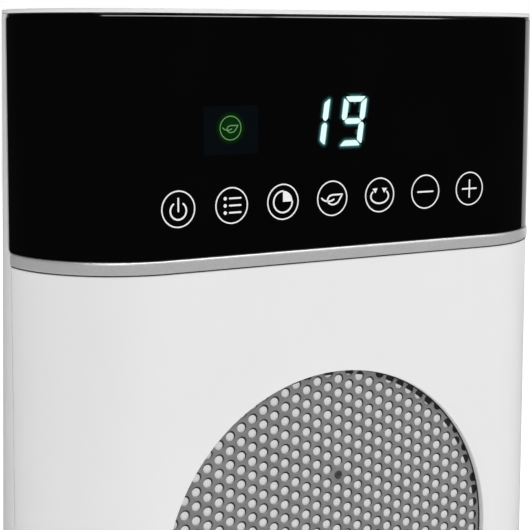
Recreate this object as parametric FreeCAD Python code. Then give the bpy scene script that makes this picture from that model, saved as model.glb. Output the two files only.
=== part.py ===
import FreeCAD, Part

import math
import os

from FreeCAD import Vector

# Free-standing ceramic fan heater on a base that swings it from side to side.
# Millimetres. +Z is up, the front faces -Y, and the origin is the centre of the base's footprint,
# on the surface that the rubber feet stand on, which is also on the axis of the swing.

# ---- driving dimensions -------------------------------------------------------------------------
BODY_BOTTOM = 20.0          # lower edge of the two shells
BODY_TOP = 257.6            # top of the cap
CAP_HEIGHT = 1.1            # edge of the cap that shows above the control panel
HALF_WIDTH_TOP = 82.75      # half the body's width at the top
WIDTH_FLARE = 0.0125        # growth of the half width per millimetre downwards
FRONT_Y = -57.5             # the flat front
CORNER_R = 32.0             # vertical corner between the front and each side
REAR_TOP = 45.9             # depth of the rounded back behind the seam, at the top
REAR_SLOPE = 0.1454         # growth of that depth per millimetre downwards
WALL = 2.2
SEAM_GAP = 0.3              # shadow line between the front and rear shells
FIT = 0.1                   # gap between pieces that are fixed to each other

STRIP_BOTTOM = 189.6        # silver strip under the control panel
STRIP_TOP = 193.35
STRIP_PROUD = 0.35
NECK_INSET = 2.8            # the front shell steps back this far behind the control panel
PANEL_WRAP = 2.3            # the control panel's ends reach this far behind the seam
PANEL_CORNER = 2.4          # rounding of its lower corners

GRILLE_Z = 103.9            # height of the round outlet's centre
OUTLET_R = 53.7
ROLL_WIDTH = 8.0            # the front rolls inwards over this width around the outlet
ROLL_DEPTH = 0.35
HOLE_PITCH = 4.035
HOLE_R = 1.47
HOLE_SHIFT = (-1.15, 0.5)   # X and Z of one hole from the outlet's centre
BLANK_HOLE = (1, 5)         # column and row, from that hole, of the place that is left unpunched
GRILLE_R = 56.4
GRILLE_THICK = 0.5
SCREEN_R = 54.2             # the fine screen right behind the sheet
RING_HALF = 57.4            # half the retaining ring's width across its flat sides

BASE_R = 78.0
BASE_TOP = 18.0
FOOT_HEIGHT = 2.4
PLATE_TOP = 4.8             # upper face of the base plate
POST_R = 13.0               # hollow pivot post that the body turns on
POST_BORE = 9.0
POST_TOP = 34.9
RUN = 0.06                  # radial clearance of a turning fit

GEAR_MODULE = 1.0
SUN_TEETH = 48
PINION_TEETH = 12
GEAR_BOTTOM = 27.6
GEAR_TOP = 33.2
BACKLASH = 0.24             # thinning of each tooth at the pitch circle

KEY_COUNT = 7
KEY_PITCH = 15.7
KEY_ROW_X = -2.2            # centre of the row of touch keys
KEY_ROW_Z = 206.75

FAN_TIP_R = 46.0
FAN_BLADES = 7
FAN_FRONT = -21.5
HUB_R = 17.0
SHAFT_R = 1.6
SHROUD_R = 49.0
SHROUD_DEPTH = 22.0
MOTOR_FRONT = -3.2
MOTOR_LENGTH = 26.0

ELEMENT_HALF = 47.0         # half the length of the heating element's tubes
ELEMENT_FRONT = -44.0
ELEMENT_BACK = -30.0
TUBE_COUNT = 6
TUBE_HEIGHT = 2.8
FIN_HEIGHT = 9.4
STACK_GAP = 0.05            # joint between a fin row and a tube

INTAKE = (-50.0, 50.0, 66.0, 150.0)      # opening in the back: low x, high x, low z, high z
GRIP = (-38.0, 38.0, 220.0, 244.0)       # the same for the finger recess
GLAND_Z = 9.6               # height of the cord gland in the base
ROCKER_TILT = 9.0           # the rocker's lean when it is on
DRIVE_SHAFT_R = 2.5
TIP_FLANGE = 7.6            # height of the tip-over plunger's flange
CAGE_TOP = 15.4             # and of its cage

# ---- worked out from them -----------------------------------------------------------------------
SEAM_Y = FRONT_Y + CORNER_R
PANEL_TOP = BODY_TOP - CAP_HEIGHT
FRONT_INNER = FRONT_Y + WALL
GRILLE_Y = FRONT_INNER + 0.3
SCREEN_Y = GRILLE_Y + GRILLE_THICK + FIT
PINION_X = -GEAR_MODULE * (SUN_TEETH + PINION_TEETH) / 2
STACK_PITCH = TUBE_HEIGHT + FIN_HEIGHT + 2 * STACK_GAP
STACK_HEIGHT = TUBE_COUNT * STACK_PITCH + FIN_HEIGHT
CUTOUT_Z = GRILLE_Z + STACK_HEIGHT / 2 + 6.4     # the thermal cut-out sits on the heater's frame
BIG = 200.0

X_AXIS = Vector(1, 0, 0)
Y_AXIS = Vector(0, 1, 0)
Z_AXIS = Vector(0, 0, 1)
ORIGIN = Vector(0, 0, 0)
CORNERS = [(sx, sy) for sx in (-1, 1) for sy in (-1, 1)]


# ---- small helpers ------------------------------------------------------------------------------
def block(x0, x1, y0, y1, z0, z1):
    """A box between two corners."""
    return Part.makeBox(x1 - x0, y1 - y0, z1 - z0, Vector(x0, y0, z0))


def rod(radius, start, axis, length):
    """A cylinder from a point along an axis."""
    return Part.makeCylinder(radius, length, Vector(*start), axis)


def sleeve(outer, inner, start, axis, length):
    """A tube or washer."""
    return rod(outer, start, axis, length).cut(rod(inner, start, axis, length))


def union(shapes):
    """One solid from several that overlap."""
    shapes = list(shapes)
    return shapes[0].multiFuse(shapes[1:]).removeSplitter()


def cut_all(shape, tools):
    """A shape less each of the tools."""
    return shape.cut(Part.makeCompound(list(tools)))


def group(shapes):
    """Separate solids that share a node."""
    return Part.makeCompound(list(shapes))


def prism(points, direction):
    """A straight prism on a closed outline of points."""
    wire = Part.makePolygon([Vector(*p) for p in points] + [Vector(*points[0])])
    return Part.Face(wire).extrude(direction)


def half_width(z):
    return HALF_WIDTH_TOP + WIDTH_FLARE * (BODY_TOP - z)


def rear_depth(z):
    return REAR_TOP + REAR_SLOPE * (BODY_TOP - z)


def outline(z, inset):
    """The body's outline at a height: flat front, round corners and an elliptical back."""
    width = half_width(z) - inset
    radius = CORNER_R - inset
    front = FRONT_Y + inset
    rear = rear_depth(z) - inset
    corner_x = width - radius
    diagonal = radius * math.sqrt(0.5)
    edges = [Part.LineSegment(Vector(-corner_x, front, z), Vector(corner_x, front, z)).toShape()]
    edges.append(Part.Arc(Vector(corner_x, front, z),
                          Vector(corner_x + diagonal, SEAM_Y - diagonal, z),
                          Vector(width, SEAM_Y, z)).toShape())
    centre = Vector(0, SEAM_Y, z)
    back = Part.Ellipse(Vector(width, SEAM_Y, z), Vector(0, SEAM_Y + rear, z), centre)
    edges.append(back.toShape(0, math.pi / 2))
    edges.append(back.toShape(math.pi / 2, math.pi))
    edges.append(Part.Arc(Vector(-width, SEAM_Y, z),
                          Vector(-corner_x - diagonal, SEAM_Y - diagonal, z),
                          Vector(-corner_x, front, z)).toShape())
    return Part.Wire(edges)


def body(z0, z1, inset0, inset1=None):
    """The body's solid between two heights, drawn in by an inset at each."""
    inset1 = inset0 if inset1 is None else inset1
    return Part.makeLoft([outline(z0, inset0), outline(z1, inset1)], True, True)


def body_wall(z0, z1, outer, inner):
    """A wall that follows the body's outline between two insets."""
    return body(z0, z1, outer).cut(body(z0 - 1, z1 + 1, inner))


def front_of(y):
    return block(-BIG, BIG, -BIG, y, -1, BIG * 2)


def behind(y):
    return block(-BIG, BIG, y, BIG, -1, BIG * 2)


def panel_reach(gap):
    """Everything in front of the control panel's ends and above its foot, whose corners are round,
    widened by a gap."""
    end = SEAM_Y + PANEL_WRAP + gap
    low = STRIP_TOP + FIT / 2 - gap
    radius = PANEL_CORNER + gap
    bulge = radius * (1 - math.sqrt(0.5))
    foot = Vector(-BIG, end - radius, low)
    side = Vector(-BIG, end, low + radius)
    corner = Part.Arc(foot, Vector(-BIG, end - bulge, low + bulge), side).toShape()
    rest = Part.makePolygon([side, Vector(-BIG, end, BIG * 2), Vector(-BIG, -BIG, BIG * 2),
                             Vector(-BIG, -BIG, low), foot])
    return Part.Face(Part.Wire([corner] + rest.Edges)).extrude(X_AXIS * (BIG * 2))


def key_places():
    """X of each touch key."""
    first = KEY_ROW_X - KEY_PITCH * (KEY_COUNT - 1) / 2
    return [first + KEY_PITCH * i for i in range(KEY_COUNT)]


# ---- places that two pieces share ---------------------------------------------------------------
SHELL_SCREWS = [(sx * 70.0, z) for sx in (-1, 1) for z in (56.0, 172.0)]
STAKE_ANGLES = [30 + 60 * i for i in range(6)]
STAKE_RADIUS = 61.8
BOARD_HOLES = [(sx * 52.0, z) for sx in (-1, 1) for z in (197.2, 245.0)]
POWER_HOLES = [(sx * 36.0, z) for sx in (-1, 1) for z in (166.0, 206.0)]
POWER_BOARD_Y = -8.0
BOARD_Y = -48.0
BOARD_THICK = 1.6
HEATER_EARS = [(sx * 61.5, GRILLE_Z + dz) for sx in (-1, 1) for dz in (-42.0, 42.0)]
HEATER_FRONT = -47.0
HEATER_BACK = -27.0
SHROUD_FRONT = HEATER_BACK + FIT
MOTOR_SCREWS = [(sx * 11.0, GRILLE_Z) for sx in (-1, 1)]
FLOOR_BOTTOM = 20.3
FLOOR_TOP = 23.3
FRONT_FLOOR_SCREWS = [(-74.0, -42.0), (74.0, -42.0)]
REAR_FLOOR_SCREWS = [(-71.4, 8.0), (71.4, 8.0)]
BRACKET_POSTS = [(x, y) for x in (-51.0, -22.0) for y in (-24.5, 24.5)]
BRACKET_BOTTOM = 35.6
BRACKET_TOP = 37.2
BASE_SCREWS = [(60.0, 0.0), (-60.0, 0.0), (0.0, 60.0), (0.0, -60.0)]
POST_SCREWS = [(sx * 14.5, sy * 14.5) for sx, sy in CORNERS]
FEET = [(sx * 44.0, sy * 44.0) for sx, sy in CORNERS]
TIP_Y = 36.0
SWITCH_Z = 40.0
SWITCH_FACE = 57.0
ROCKER_Y = 54.6
SENSOR_PLACE = (56.0, 46.0)


def stake_places():
    for angle in STAKE_ANGLES:
        a = math.radians(angle)
        yield STAKE_RADIUS * math.cos(a), GRILLE_Z + STAKE_RADIUS * math.sin(a)


# ---- casing -------------------------------------------------------------------------------------
def outlet_cut():
    """The round outlet with the soft inward roll of the front around it."""
    lip = OUTLET_R + ROLL_WIDTH
    roll_r = (ROLL_WIDTH ** 2 + ROLL_DEPTH ** 2) / (2 * ROLL_DEPTH)
    half_turn = math.asin(ROLL_WIDTH / roll_r) / 2
    ahead = FRONT_Y - 5
    inside = FRONT_Y + 8
    middle = Vector(lip - roll_r * math.sin(half_turn),
                    FRONT_Y + roll_r * (1 - math.cos(half_turn)), GRILLE_Z)
    edge = Vector(OUTLET_R, FRONT_Y + ROLL_DEPTH, GRILLE_Z)
    start = Vector(lip, FRONT_Y, GRILLE_Z)
    path = [Part.makePolygon([Vector(0, inside, GRILLE_Z), Vector(0, ahead, GRILLE_Z),
                              Vector(lip, ahead, GRILLE_Z), start]),
            Part.Wire([Part.Arc(start, middle, edge).toShape()]),
            Part.makePolygon([edge, Vector(OUTLET_R, inside, GRILLE_Z),
                              Vector(0, inside, GRILLE_Z)])]
    profile = Part.Face(Part.Wire([e for w in path for e in w.Edges]))
    return profile.revolve(Vector(0, 0, GRILLE_Z), Y_AXIS, 360)


def front_shell():
    shelf_top = STRIP_BOTTOM - FIT
    shelf_bottom = shelf_top - WALL
    top = PANEL_TOP - FIT
    neck_inner = NECK_INSET + WALL
    shell = body(BODY_BOTTOM, shelf_top, 0).fuse(body(shelf_top, top, NECK_INSET))
    shell = shell.cut(body(BODY_BOTTOM - 1, shelf_bottom, WALL))
    shell = shell.cut(body(shelf_bottom - 0.5, top + 1, neck_inner))
    shell = shell.common(front_of(SEAM_Y - SEAM_GAP / 2))
    shell = shell.cut(outlet_cut())
    window = block(-58, 58, FRONT_Y - 1, SEAM_Y - 14, 200.5, 241.0)
    shell = shell.cut(window)
    bosses = [rod(4.2, (x, FRONT_INNER + 2.2, z), Y_AXIS, SEAM_Y - 1 - FRONT_INNER - 2.2)
              for x, z in SHELL_SCREWS]
    bosses += [rod(3.0, (x, FRONT_Y + NECK_INSET + 1, z), Y_AXIS,
                   BOARD_Y - FIT - FRONT_Y - NECK_INSET - 1) for x, z in BOARD_HOLES]
    bosses += [rod(4.0, (x, FRONT_INNER + 0.8, z), Y_AXIS, HEATER_FRONT - FIT - FRONT_INNER - 0.8)
               for x, z in HEATER_EARS]
    bosses += [rod(4.2, (x, y, FLOOR_TOP + FIT), Z_AXIS, 16) for x, y in FRONT_FLOOR_SCREWS]
    envelope = body(BODY_BOTTOM, shelf_bottom, 0.5).fuse(body(shelf_bottom, top, NECK_INSET + 0.5))
    shell = union([shell] + [b.common(envelope) for b in bosses])
    for x, z in stake_places():
        stake = rod(2.0, (x, FRONT_INNER - 1.0, z), Y_AXIS, 5.6)
        shell = shell.fuse(stake.fuse(rod(3.0, (x, FRONT_INNER + 4.4, z), Y_AXIS, 0.8)))
    holes = [rod(1.55, (x, FRONT_INNER + 5, z), Y_AXIS, BIG) for x, z in SHELL_SCREWS]
    holes += [rod(1.3, (x, BOARD_Y - 5, z), Y_AXIS, BIG) for x, z in BOARD_HOLES]
    holes += [rod(1.3, (x, HEATER_FRONT - 5, z), Y_AXIS, BIG) for x, z in HEATER_EARS]
    holes += [rod(1.55, (x, y, FLOOR_TOP - 1), Z_AXIS, 14) for x, y in FRONT_FLOOR_SCREWS]
    return cut_all(shell, holes)


def opening(window, inset):
    """A box through the back of the rear shell, drawn in by an inset."""
    x0, x1, z0, z1 = window
    return block(x0 + inset, x1 - inset, SEAM_Y + 8, BIG, z0 + inset, z1 - inset)


def rear_shell():
    top = PANEL_TOP - FIT
    wall = body_wall(BODY_BOTTOM, top, 0, WALL).common(behind(SEAM_Y + SEAM_GAP / 2))
    wall = wall.cut(panel_reach(SEAM_GAP))
    tongue_z = (BODY_BOTTOM + 4, STRIP_BOTTOM - 6)
    tongue = body_wall(*tongue_z, WALL + 0.2, WALL + 1.4)
    tongue = tongue.common(block(-BIG, BIG, SEAM_Y - 3, SEAM_Y + 2, 0, BIG))
    root = body_wall(*tongue_z, WALL - 0.5, WALL + 1.4)
    root = root.common(block(-BIG, BIG, SEAM_Y + 0.5, SEAM_Y + 2, 0, BIG))
    pod = block(-15, 15, 46, SWITCH_FACE, 28, 52)
    pod = pod.cut(prism([(-BIG, 51.0, 53.0), (-BIG, 58.0, 53.0), (-BIG, 58.0, 49.5)], X_AXIS * 400))
    pod = pod.cut(body(20, 60, WALL))
    envelope = body(BODY_BOTTOM, top, 0.4)
    bosses = [rod(5.5, (x, SEAM_Y - 0.9, z), Y_AXIS, 90) for x, z in SHELL_SCREWS]
    bosses += [rod(3.0, (x, POWER_BOARD_Y + BOARD_THICK + FIT, z), Y_AXIS, 60) for x, z in POWER_HOLES]
    bosses += [rod(4.2, (x, y, FLOOR_TOP + FIT), Z_AXIS, 16) for x, y in REAR_FLOOR_SCREWS]
    sensor_x, sensor_z = SENSOR_PLACE
    bosses.append(rod(4.5, (sensor_x, 14, sensor_z), Y_AXIS, 60))
    shell = union([wall, tongue, root, pod] + [b.common(envelope) for b in bosses])
    holes = [rod(1.7, (x, SEAM_Y - 2, z), Y_AXIS, 20) for x, z in SHELL_SCREWS]
    holes += [rod(3.7, (x, SEAM_Y + 7, z), Y_AXIS, BIG) for x, z in SHELL_SCREWS]
    holes += [rod(1.3, (x, POWER_BOARD_Y, z), Y_AXIS, 14) for x, z in POWER_HOLES]
    holes += [rod(1.55, (x, y, FLOOR_TOP - 1), Z_AXIS, 14) for x, y in REAR_FLOOR_SCREWS]
    holes.append(rod(2.7, (sensor_x, 0, sensor_z), Y_AXIS, BIG))
    holes.append(opening(INTAKE, 0))
    holes.append(opening(GRIP, 0))
    holes.append(block(-9.9, 9.9, 40, BIG, SWITCH_Z - 7.2, SWITCH_Z + 7.2))
    return cut_all(shell, holes)


def top_cap():
    edge = body(PANEL_TOP, BODY_TOP - 0.5, 0.0)
    crown = body(BODY_TOP - 0.5, BODY_TOP, 0.0, 0.7)
    skirt = body_wall(PANEL_TOP - 6, PANEL_TOP + 0.2, NECK_INSET + WALL + 0.2, NECK_INSET + WALL + 1.8)
    return union([edge, crown, skirt])


def control_panel():
    low = STRIP_TOP + FIT
    bevel = 0.5
    top = PANEL_TOP - FIT
    shape = union([body(low, top - bevel, 0.0), body(top - bevel, top, 0.0, bevel)])
    return shape.cut(body(low - 1, top + 1, WALL)).common(panel_reach(0))


def trim_strip():
    bevel = 0.9
    parts = [body(STRIP_BOTTOM, STRIP_BOTTOM + bevel, 0.2, -STRIP_PROUD),
             body(STRIP_BOTTOM + bevel, STRIP_TOP - bevel, -STRIP_PROUD),
             body(STRIP_TOP - bevel, STRIP_TOP, -STRIP_PROUD, 0.2)]
    strip = union(parts).cut(body(STRIP_BOTTOM - 1, STRIP_TOP + 1, NECK_INSET - 2 * FIT))
    return strip.common(front_of(SEAM_Y - SEAM_GAP))


# ---- outlet -------------------------------------------------------------------------------------
def hole_places(radius):
    """Centres of the perforations within a radius: upright columns, each shifted by half a pitch."""
    column = HOLE_PITCH * math.sqrt(3) / 2
    reach = int(radius / column) + 2
    for i in range(-reach, reach + 1):
        half_step = HOLE_PITCH / 2 if i % 2 else 0.0
        for j in range(-reach, reach + 1):
            x = HOLE_SHIFT[0] + i * column
            z = HOLE_SHIFT[1] + j * HOLE_PITCH + half_step
            if math.hypot(x, z) <= radius and (i, j) != BLANK_HOLE:
                yield x, GRILLE_Z + z


def front_grille():
    """A flat sheet punched all over in a triangular pattern, with a plain rim."""
    rim = Part.Wire([Part.Circle(Vector(0, GRILLE_Y, GRILLE_Z), Y_AXIS, GRILLE_R).toShape()])
    holes = [Part.Wire([Part.Circle(Vector(x, GRILLE_Y, z), Y_AXIS, HOLE_R).toShape()])
             for x, z in hole_places(GRILLE_R - 2)]
    sheet = Part.makeFace([rim] + holes, "Part::FaceMakerBullseye")
    return sheet.extrude(Vector(0, GRILLE_THICK, 0))


def grille_ring():
    """Holds the sheet and the screen against the front; flat at its sides, beside the corners."""
    front = GRILLE_Y + GRILLE_THICK + FIT
    ring = union([sleeve(64.6, 54.6, (0, front, GRILLE_Z), Y_AXIS, 3.5),
                  sleeve(55.0, 50.8, (0, SCREEN_Y + 0.5, GRILLE_Z), Y_AXIS, 0.9)])
    ring = ring.common(block(-RING_HALF, RING_HALF, -BIG, BIG, 0, BIG))
    return cut_all(ring, [rod(2.2, (x, front - 1, z), Y_AXIS, 6) for x, z in stake_places()])


def inner_screen():
    return rod(SCREEN_R, (0, SCREEN_Y, GRILLE_Z), Y_AXIS, 0.4)


# ---- heating element ----------------------------------------------------------------------------
def stack_rows():
    """Low Z of each fin row and of each tube between them."""
    first = GRILLE_Z - STACK_HEIGHT / 2
    fins = [first + i * STACK_PITCH for i in range(TUBE_COUNT + 1)]
    return fins, [z + FIN_HEIGHT + STACK_GAP for z in fins[:-1]]


def heater_frame():
    fins, _ = stack_rows()
    low = fins[0] - 0.2
    high = fins[-1] + FIN_HEIGHT + 0.2
    rim = 6.0
    inner = ELEMENT_HALF + 0.2
    frame = block(-inner - rim, inner + rim, HEATER_FRONT, HEATER_BACK, low - rim, high + rim)
    frame = frame.cut(block(-inner, inner, HEATER_FRONT - 1, HEATER_BACK + 1, low, high))
    ears = []
    for x, z in HEATER_EARS:
        x0, x1 = sorted((math.copysign(inner, x), math.copysign(abs(x) + 4.5, x)))
        ears.append(block(x0, x1, HEATER_FRONT, HEATER_FRONT + 3, z - 4.5, z + 4.5))
    frame = union([frame] + ears)
    ledges = [block(-inner, inner, ELEMENT_BACK + 0.1, ELEMENT_BACK + 2, z0, z1)
              for z0, z1 in ((low, low + 2), (high - 2, high))]
    frame = union([frame] + ledges)
    holes = [rod(1.7, (x, HEATER_FRONT - 1, z), Y_AXIS, 6) for x, z in HEATER_EARS]
    slots = [block(inner - 1, inner + rim + 1, -38.4, -35.6, z - 0.2, z + TUBE_HEIGHT + 0.2)
             for z in stack_rows()[1][::2]]
    return cut_all(frame, holes + slots)


def fin_row(z):
    """One corrugated aluminium strip, folded up and down between two tubes."""
    folds = 22
    thick = 0.4
    pitch = (2 * ELEMENT_HALF - thick) / folds
    upper = []
    lower = []
    for i in range(folds):
        x = -ELEMENT_HALF + thick / 2 + i * pitch
        crest = i % 2 == 0
        top = z + FIN_HEIGHT if crest else z + thick
        widen = thick / 2 if crest else -thick / 2
        upper += [(x - widen, top), (x + pitch + widen, top)]
        lower += [(x + widen, top - thick), (x + pitch - widen, top - thick)]
    points = [(x, ELEMENT_FRONT, height) for x, height in upper + lower[::-1]]
    return prism(points, Y_AXIS * (ELEMENT_BACK - ELEMENT_FRONT))


def heating_fins():
    return group(fin_row(z) for z in stack_rows()[0])


def heating_tubes():
    cavity = 0.45
    tubes = []
    for z in stack_rows()[1]:
        tube = block(-ELEMENT_HALF, ELEMENT_HALF, ELEMENT_FRONT, ELEMENT_BACK, z, z + TUBE_HEIGHT)
        tubes.append(tube.cut(block(-ELEMENT_HALF - 1, ELEMENT_HALF + 1, ELEMENT_FRONT + cavity,
                                    ELEMENT_BACK - cavity, z + cavity, z + TUBE_HEIGHT - cavity)))
    return group(tubes)


def ceramic_stones():
    """The ceramic tablets that make the heat, in a row inside each tube."""
    stones = []
    count = 3
    length = 28.0
    for z in stack_rows()[1]:
        for i in range(count):
            x = (i - (count - 1) / 2) * (length + 2) - length / 2
            stones.append(block(x, x + length, ELEMENT_FRONT + 1, ELEMENT_BACK - 1, z + 0.5,
                                z + TUBE_HEIGHT - 0.5))
    return group(stones)


def heater_terminals():
    reach = ELEMENT_HALF + 13
    return group(block(ELEMENT_HALF + 0.1, reach, -38.2, -35.8, z + 1.0, z + 1.8)
                 for z in stack_rows()[1][::2])


def thermal_cutout():
    can = rod(8.0, (-24, -37, CUTOUT_Z), Z_AXIS, 7)
    tabs = [block(x - 2, x + 2, -37.4, -36.6, CUTOUT_Z + 6, CUTOUT_Z + 13) for x in (-29, -19)]
    return union([can] + tabs)


def thermal_fuse():
    return union([rod(2.0, (14, -37, CUTOUT_Z + 2.2), X_AXIS, 11),
                  rod(0.5, (6, -37, CUTOUT_Z + 2.2), X_AXIS, 27)])


# ---- fan ----------------------------------------------------------------------------------------
def fan_shroud():
    """The plate behind the element and the drum that the fan turns in."""
    plate = block(-53.2, 53.2, SHROUD_FRONT, SHROUD_FRONT + 2, GRILLE_Z - 49.5, GRILLE_Z + 49.5)
    drum = rod(SHROUD_R + 2, (0, SHROUD_FRONT, GRILLE_Z), Y_AXIS, SHROUD_DEPTH)
    bore = rod(SHROUD_R, (0, SHROUD_FRONT - 1, GRILLE_Z), Y_AXIS, SHROUD_DEPTH + 2)
    return union([plate, drum]).cut(bore)


def fan_impeller():
    depth = 15.0
    thick = 1.8
    chord = 24.0
    tilt = 34.0
    hub = rod(HUB_R, (0, FAN_FRONT, GRILLE_Z), Y_AXIS, depth)
    hub = hub.cut(rod(HUB_R - 1.8, (0, FAN_FRONT + 2, GRILLE_Z), Y_AXIS, depth))
    core = rod(4.5, (0, FAN_FRONT, GRILLE_Z), Y_AXIS, depth - 2)
    middle = FAN_FRONT + depth / 2
    swept = sleeve(FAN_TIP_R, HUB_R - 1.0, (0, FAN_FRONT, GRILLE_Z), Y_AXIS, depth)
    blades = []
    for i in range(FAN_BLADES):
        blade = block(-chord / 2, chord / 2, middle - thick / 2, middle + thick / 2,
                      GRILLE_Z + HUB_R - 3, GRILLE_Z + FAN_TIP_R + 3)
        blade.rotate(Vector(0, middle, GRILLE_Z), Z_AXIS, tilt)
        blade.rotate(Vector(0, middle, GRILLE_Z), Y_AXIS, 360.0 * i / FAN_BLADES)
        blades.append(blade.common(swept))
    fan = union([hub, core] + blades)
    return fan.cut(rod(SHAFT_R + 0.02, (0, FAN_FRONT - 1, GRILLE_Z), Y_AXIS, 30))


def fan_shaft():
    return rod(SHAFT_R, (0, FAN_FRONT - 3, GRILLE_Z), Y_AXIS, MOTOR_FRONT + MOTOR_LENGTH - FAN_FRONT + 1)


def impeller_clip():
    return sleeve(4.0, SHAFT_R + 0.02, (0, FAN_FRONT - 1.3, GRILLE_Z), Y_AXIS, 1.2)


def fan_motor():
    can = rod(18.0, (0, MOTOR_FRONT, GRILLE_Z), Y_AXIS, MOTOR_LENGTH)
    nose = rod(5.0, (0, MOTOR_FRONT - 2, GRILLE_Z), Y_AXIS, 3)
    return union([can, nose]).cut(rod(SHAFT_R + RUN, (0, MOTOR_FRONT - 5, GRILLE_Z), Y_AXIS, 60))


def motor_bracket():
    """A three-armed plate that holds the motor behind the fan."""
    thick = 1.5
    y = MOTOR_FRONT - FIT - thick
    middle = rod(15.0, (0, y, GRILLE_Z), Y_AXIS, thick)
    arms = []
    for i in range(3):
        arm = block(-5, 5, y, y + thick, GRILLE_Z + 8, GRILLE_Z + 50.8)
        arm.rotate(Vector(0, y, GRILLE_Z), Y_AXIS, 120 * i)
        arms.append(arm)
    plate = union([middle] + arms)
    holes = [rod(5.2, (0, y - 1, GRILLE_Z), Y_AXIS, 4)]
    holes += [rod(1.6, (x, y - 1, z), Y_AXIS, 4) for x, z in MOTOR_SCREWS]
    return cut_all(plate, holes)


def motor_screws():
    y = MOTOR_FRONT - FIT - 1.5
    return group(union([rod(2.6, (x, y - 1.3, z), Y_AXIS, 1.3), rod(1.4, (x, y - 0.1, z), Y_AXIS, 1.6)])
                 for x, z in MOTOR_SCREWS)


# ---- electronics --------------------------------------------------------------------------------
def control_board():
    board = block(-59, 59, BOARD_Y, BOARD_Y + BOARD_THICK, 194.0, 248.5)
    return cut_all(board, [rod(1.6, (x, BOARD_Y - 1, z), Y_AXIS, 4) for x, z in BOARD_HOLES])


def board_screw(x, y, z, axis):
    """A pan-head screw whose head sits at y and whose shank runs along the axis."""
    head = rod(2.6, (x, y, z), axis, 1.6)
    shank_start = Vector(x, y, z) + axis * 1.5
    return union([head, Part.makeCylinder(1.2, 6.5, shank_start, axis)])


def board_screws():
    """The same screw holds both boards: from behind on the control board, in front on the other."""
    back = BOARD_Y + BOARD_THICK + FIT
    control = [board_screw(x, back + 1.6, z, Y_AXIS * -1) for x, z in BOARD_HOLES]
    return group(control + [board_screw(x, POWER_BOARD_Y - FIT - 1.6, z, Y_AXIS) for x, z in POWER_HOLES])


def display_module():
    """The block with the two lit digits, right behind the panel."""
    return block(-12.5, 14.5, FRONT_INNER + 0.2, BOARD_Y - FIT, 217.8, 237.8)


def indicator_light():
    return block(-41.9, -26.1, FRONT_INNER + 0.2, BOARD_Y - FIT, 219.9, 233.1)


def touch_pads():
    """Conductive foam columns that carry each key's sensing pad up to the back of the panel."""
    start = FRONT_INNER + 0.2
    return group(rod(4.2, (x, start, KEY_ROW_Z), Y_AXIS, BOARD_Y - FIT - start) for x in key_places())


def control_components():
    """The buzzer and the controller chip on the back of the control board."""
    back = BOARD_Y + BOARD_THICK + FIT
    buzzer = rod(6.0, (34, back, 232), Y_AXIS, 8.5).cut(rod(1.0, (34, back + 7, 232), Y_AXIS, 4))
    legs = [block(-8 + 2.5 * i, -7.2 + 2.5 * i, back, back + 0.8, 220.5, 233.5) for i in range(7)]
    return group([buzzer, union([block(-9, 9, back, back + 2.2, 222, 232)] + legs)])


def power_board():
    board = block(-42, 42, POWER_BOARD_Y, POWER_BOARD_Y + BOARD_THICK, 161.5, 210.5)
    return cut_all(board, [rod(1.6, (x, POWER_BOARD_Y - 1, z), Y_AXIS, 4) for x, z in POWER_HOLES])


def power_components():
    """Two relays, the low-voltage supply's transformer and its capacitors."""
    back = POWER_BOARD_Y + BOARD_THICK + FIT
    relays = [block(x, x + 15, back, back + 15.5, 172, 191) for x in (-30, -12)]
    transformer = union([block(8, 28, back, back + 14, 170, 186),
                         block(11, 25, back + 0.5, back + 16, 173, 183)])
    capacitors = [rod(r, (x, back, z), Y_AXIS, length)
                  for r, x, z, length in ((5.0, 18, 197, 12), (4.0, 2, 200, 11), (3.2, -20, 200, 9))]
    return group(relays + [transformer] + capacitors)


def mains_terminals():
    front = POWER_BOARD_Y - FIT
    tower = block(-30, 30, front - 9, front, 176, 184)
    slots = [block(-27 + 12 * i, -20 + 12 * i, front - 10, front - 3, 178, 182) for i in range(5)]
    return cut_all(tower, slots)


def ribbon_cable():
    """The flat cable between the two boards, folded at both ends."""
    y0 = BOARD_Y + BOARD_THICK + FIT
    y1 = POWER_BOARD_Y - FIT
    thick = 0.8
    points = [(y0, 206), (y0 + 6, 206), (y1 - 6, 198), (y1, 198),
              (y1, 198 - thick), (y1 - 6.3, 198 - thick), (y0 + 5.7, 206 - thick), (y0, 206 - thick)]
    return prism([(14, y, z) for y, z in points], Vector(14, 0, 0))


def room_sensor():
    x, z = SENSOR_PLACE
    return union([rod(2.5, (x, 16, z), Y_AXIS, 12), rod(2.5, (x, 28, z), Y_AXIS, 1)])


# ---- back of the body ---------------------------------------------------------------------------
def intake_grille():
    panel = body_wall(60, 156, 0, WALL).common(opening(INTAKE, 0.25))
    x0, x1, z0, z1 = INTAKE
    columns = 4
    rows = 11
    width = (x1 - x0 - 8) / columns
    height = 4.0
    pitch = (z1 - z0 - 6) / rows
    slots = []
    for i in range(columns):
        for j in range(rows):
            low = z0 + 3 + (pitch - height) / 2 + j * pitch
            left = x0 + 4 + i * width
            slots.append(block(left + 1.6, left + width - 1.6, SEAM_Y + 8, BIG, low, low + height))
    return cut_all(panel, slots)


def dust_filter():
    x0, x1, z0, z1 = INTAKE
    sheet = body_wall(z0 - 1.5, z1 + 1.5, WALL + 0.2, WALL + 1.4)
    return sheet.common(block(x0 - 2, x1 + 2, SEAM_Y + 8, BIG, 0, BIG))


def grip_cup():
    """The recess that the fingers go into to lift the heater."""
    x0, x1, z0, z1 = GRIP
    back_y = -12.0
    cup = body(z0 - 4, z1 + 4, 0).common(block(x0 + 0.25, x1 - 0.25, back_y, BIG, z0 + 0.25, z1 - 0.25))
    hollow = block(x0 + 2.2, x1 - 2.2, back_y + 2, BIG, z0 + 2.2, z1 - 2.2)
    return cup.cut(hollow)


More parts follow.
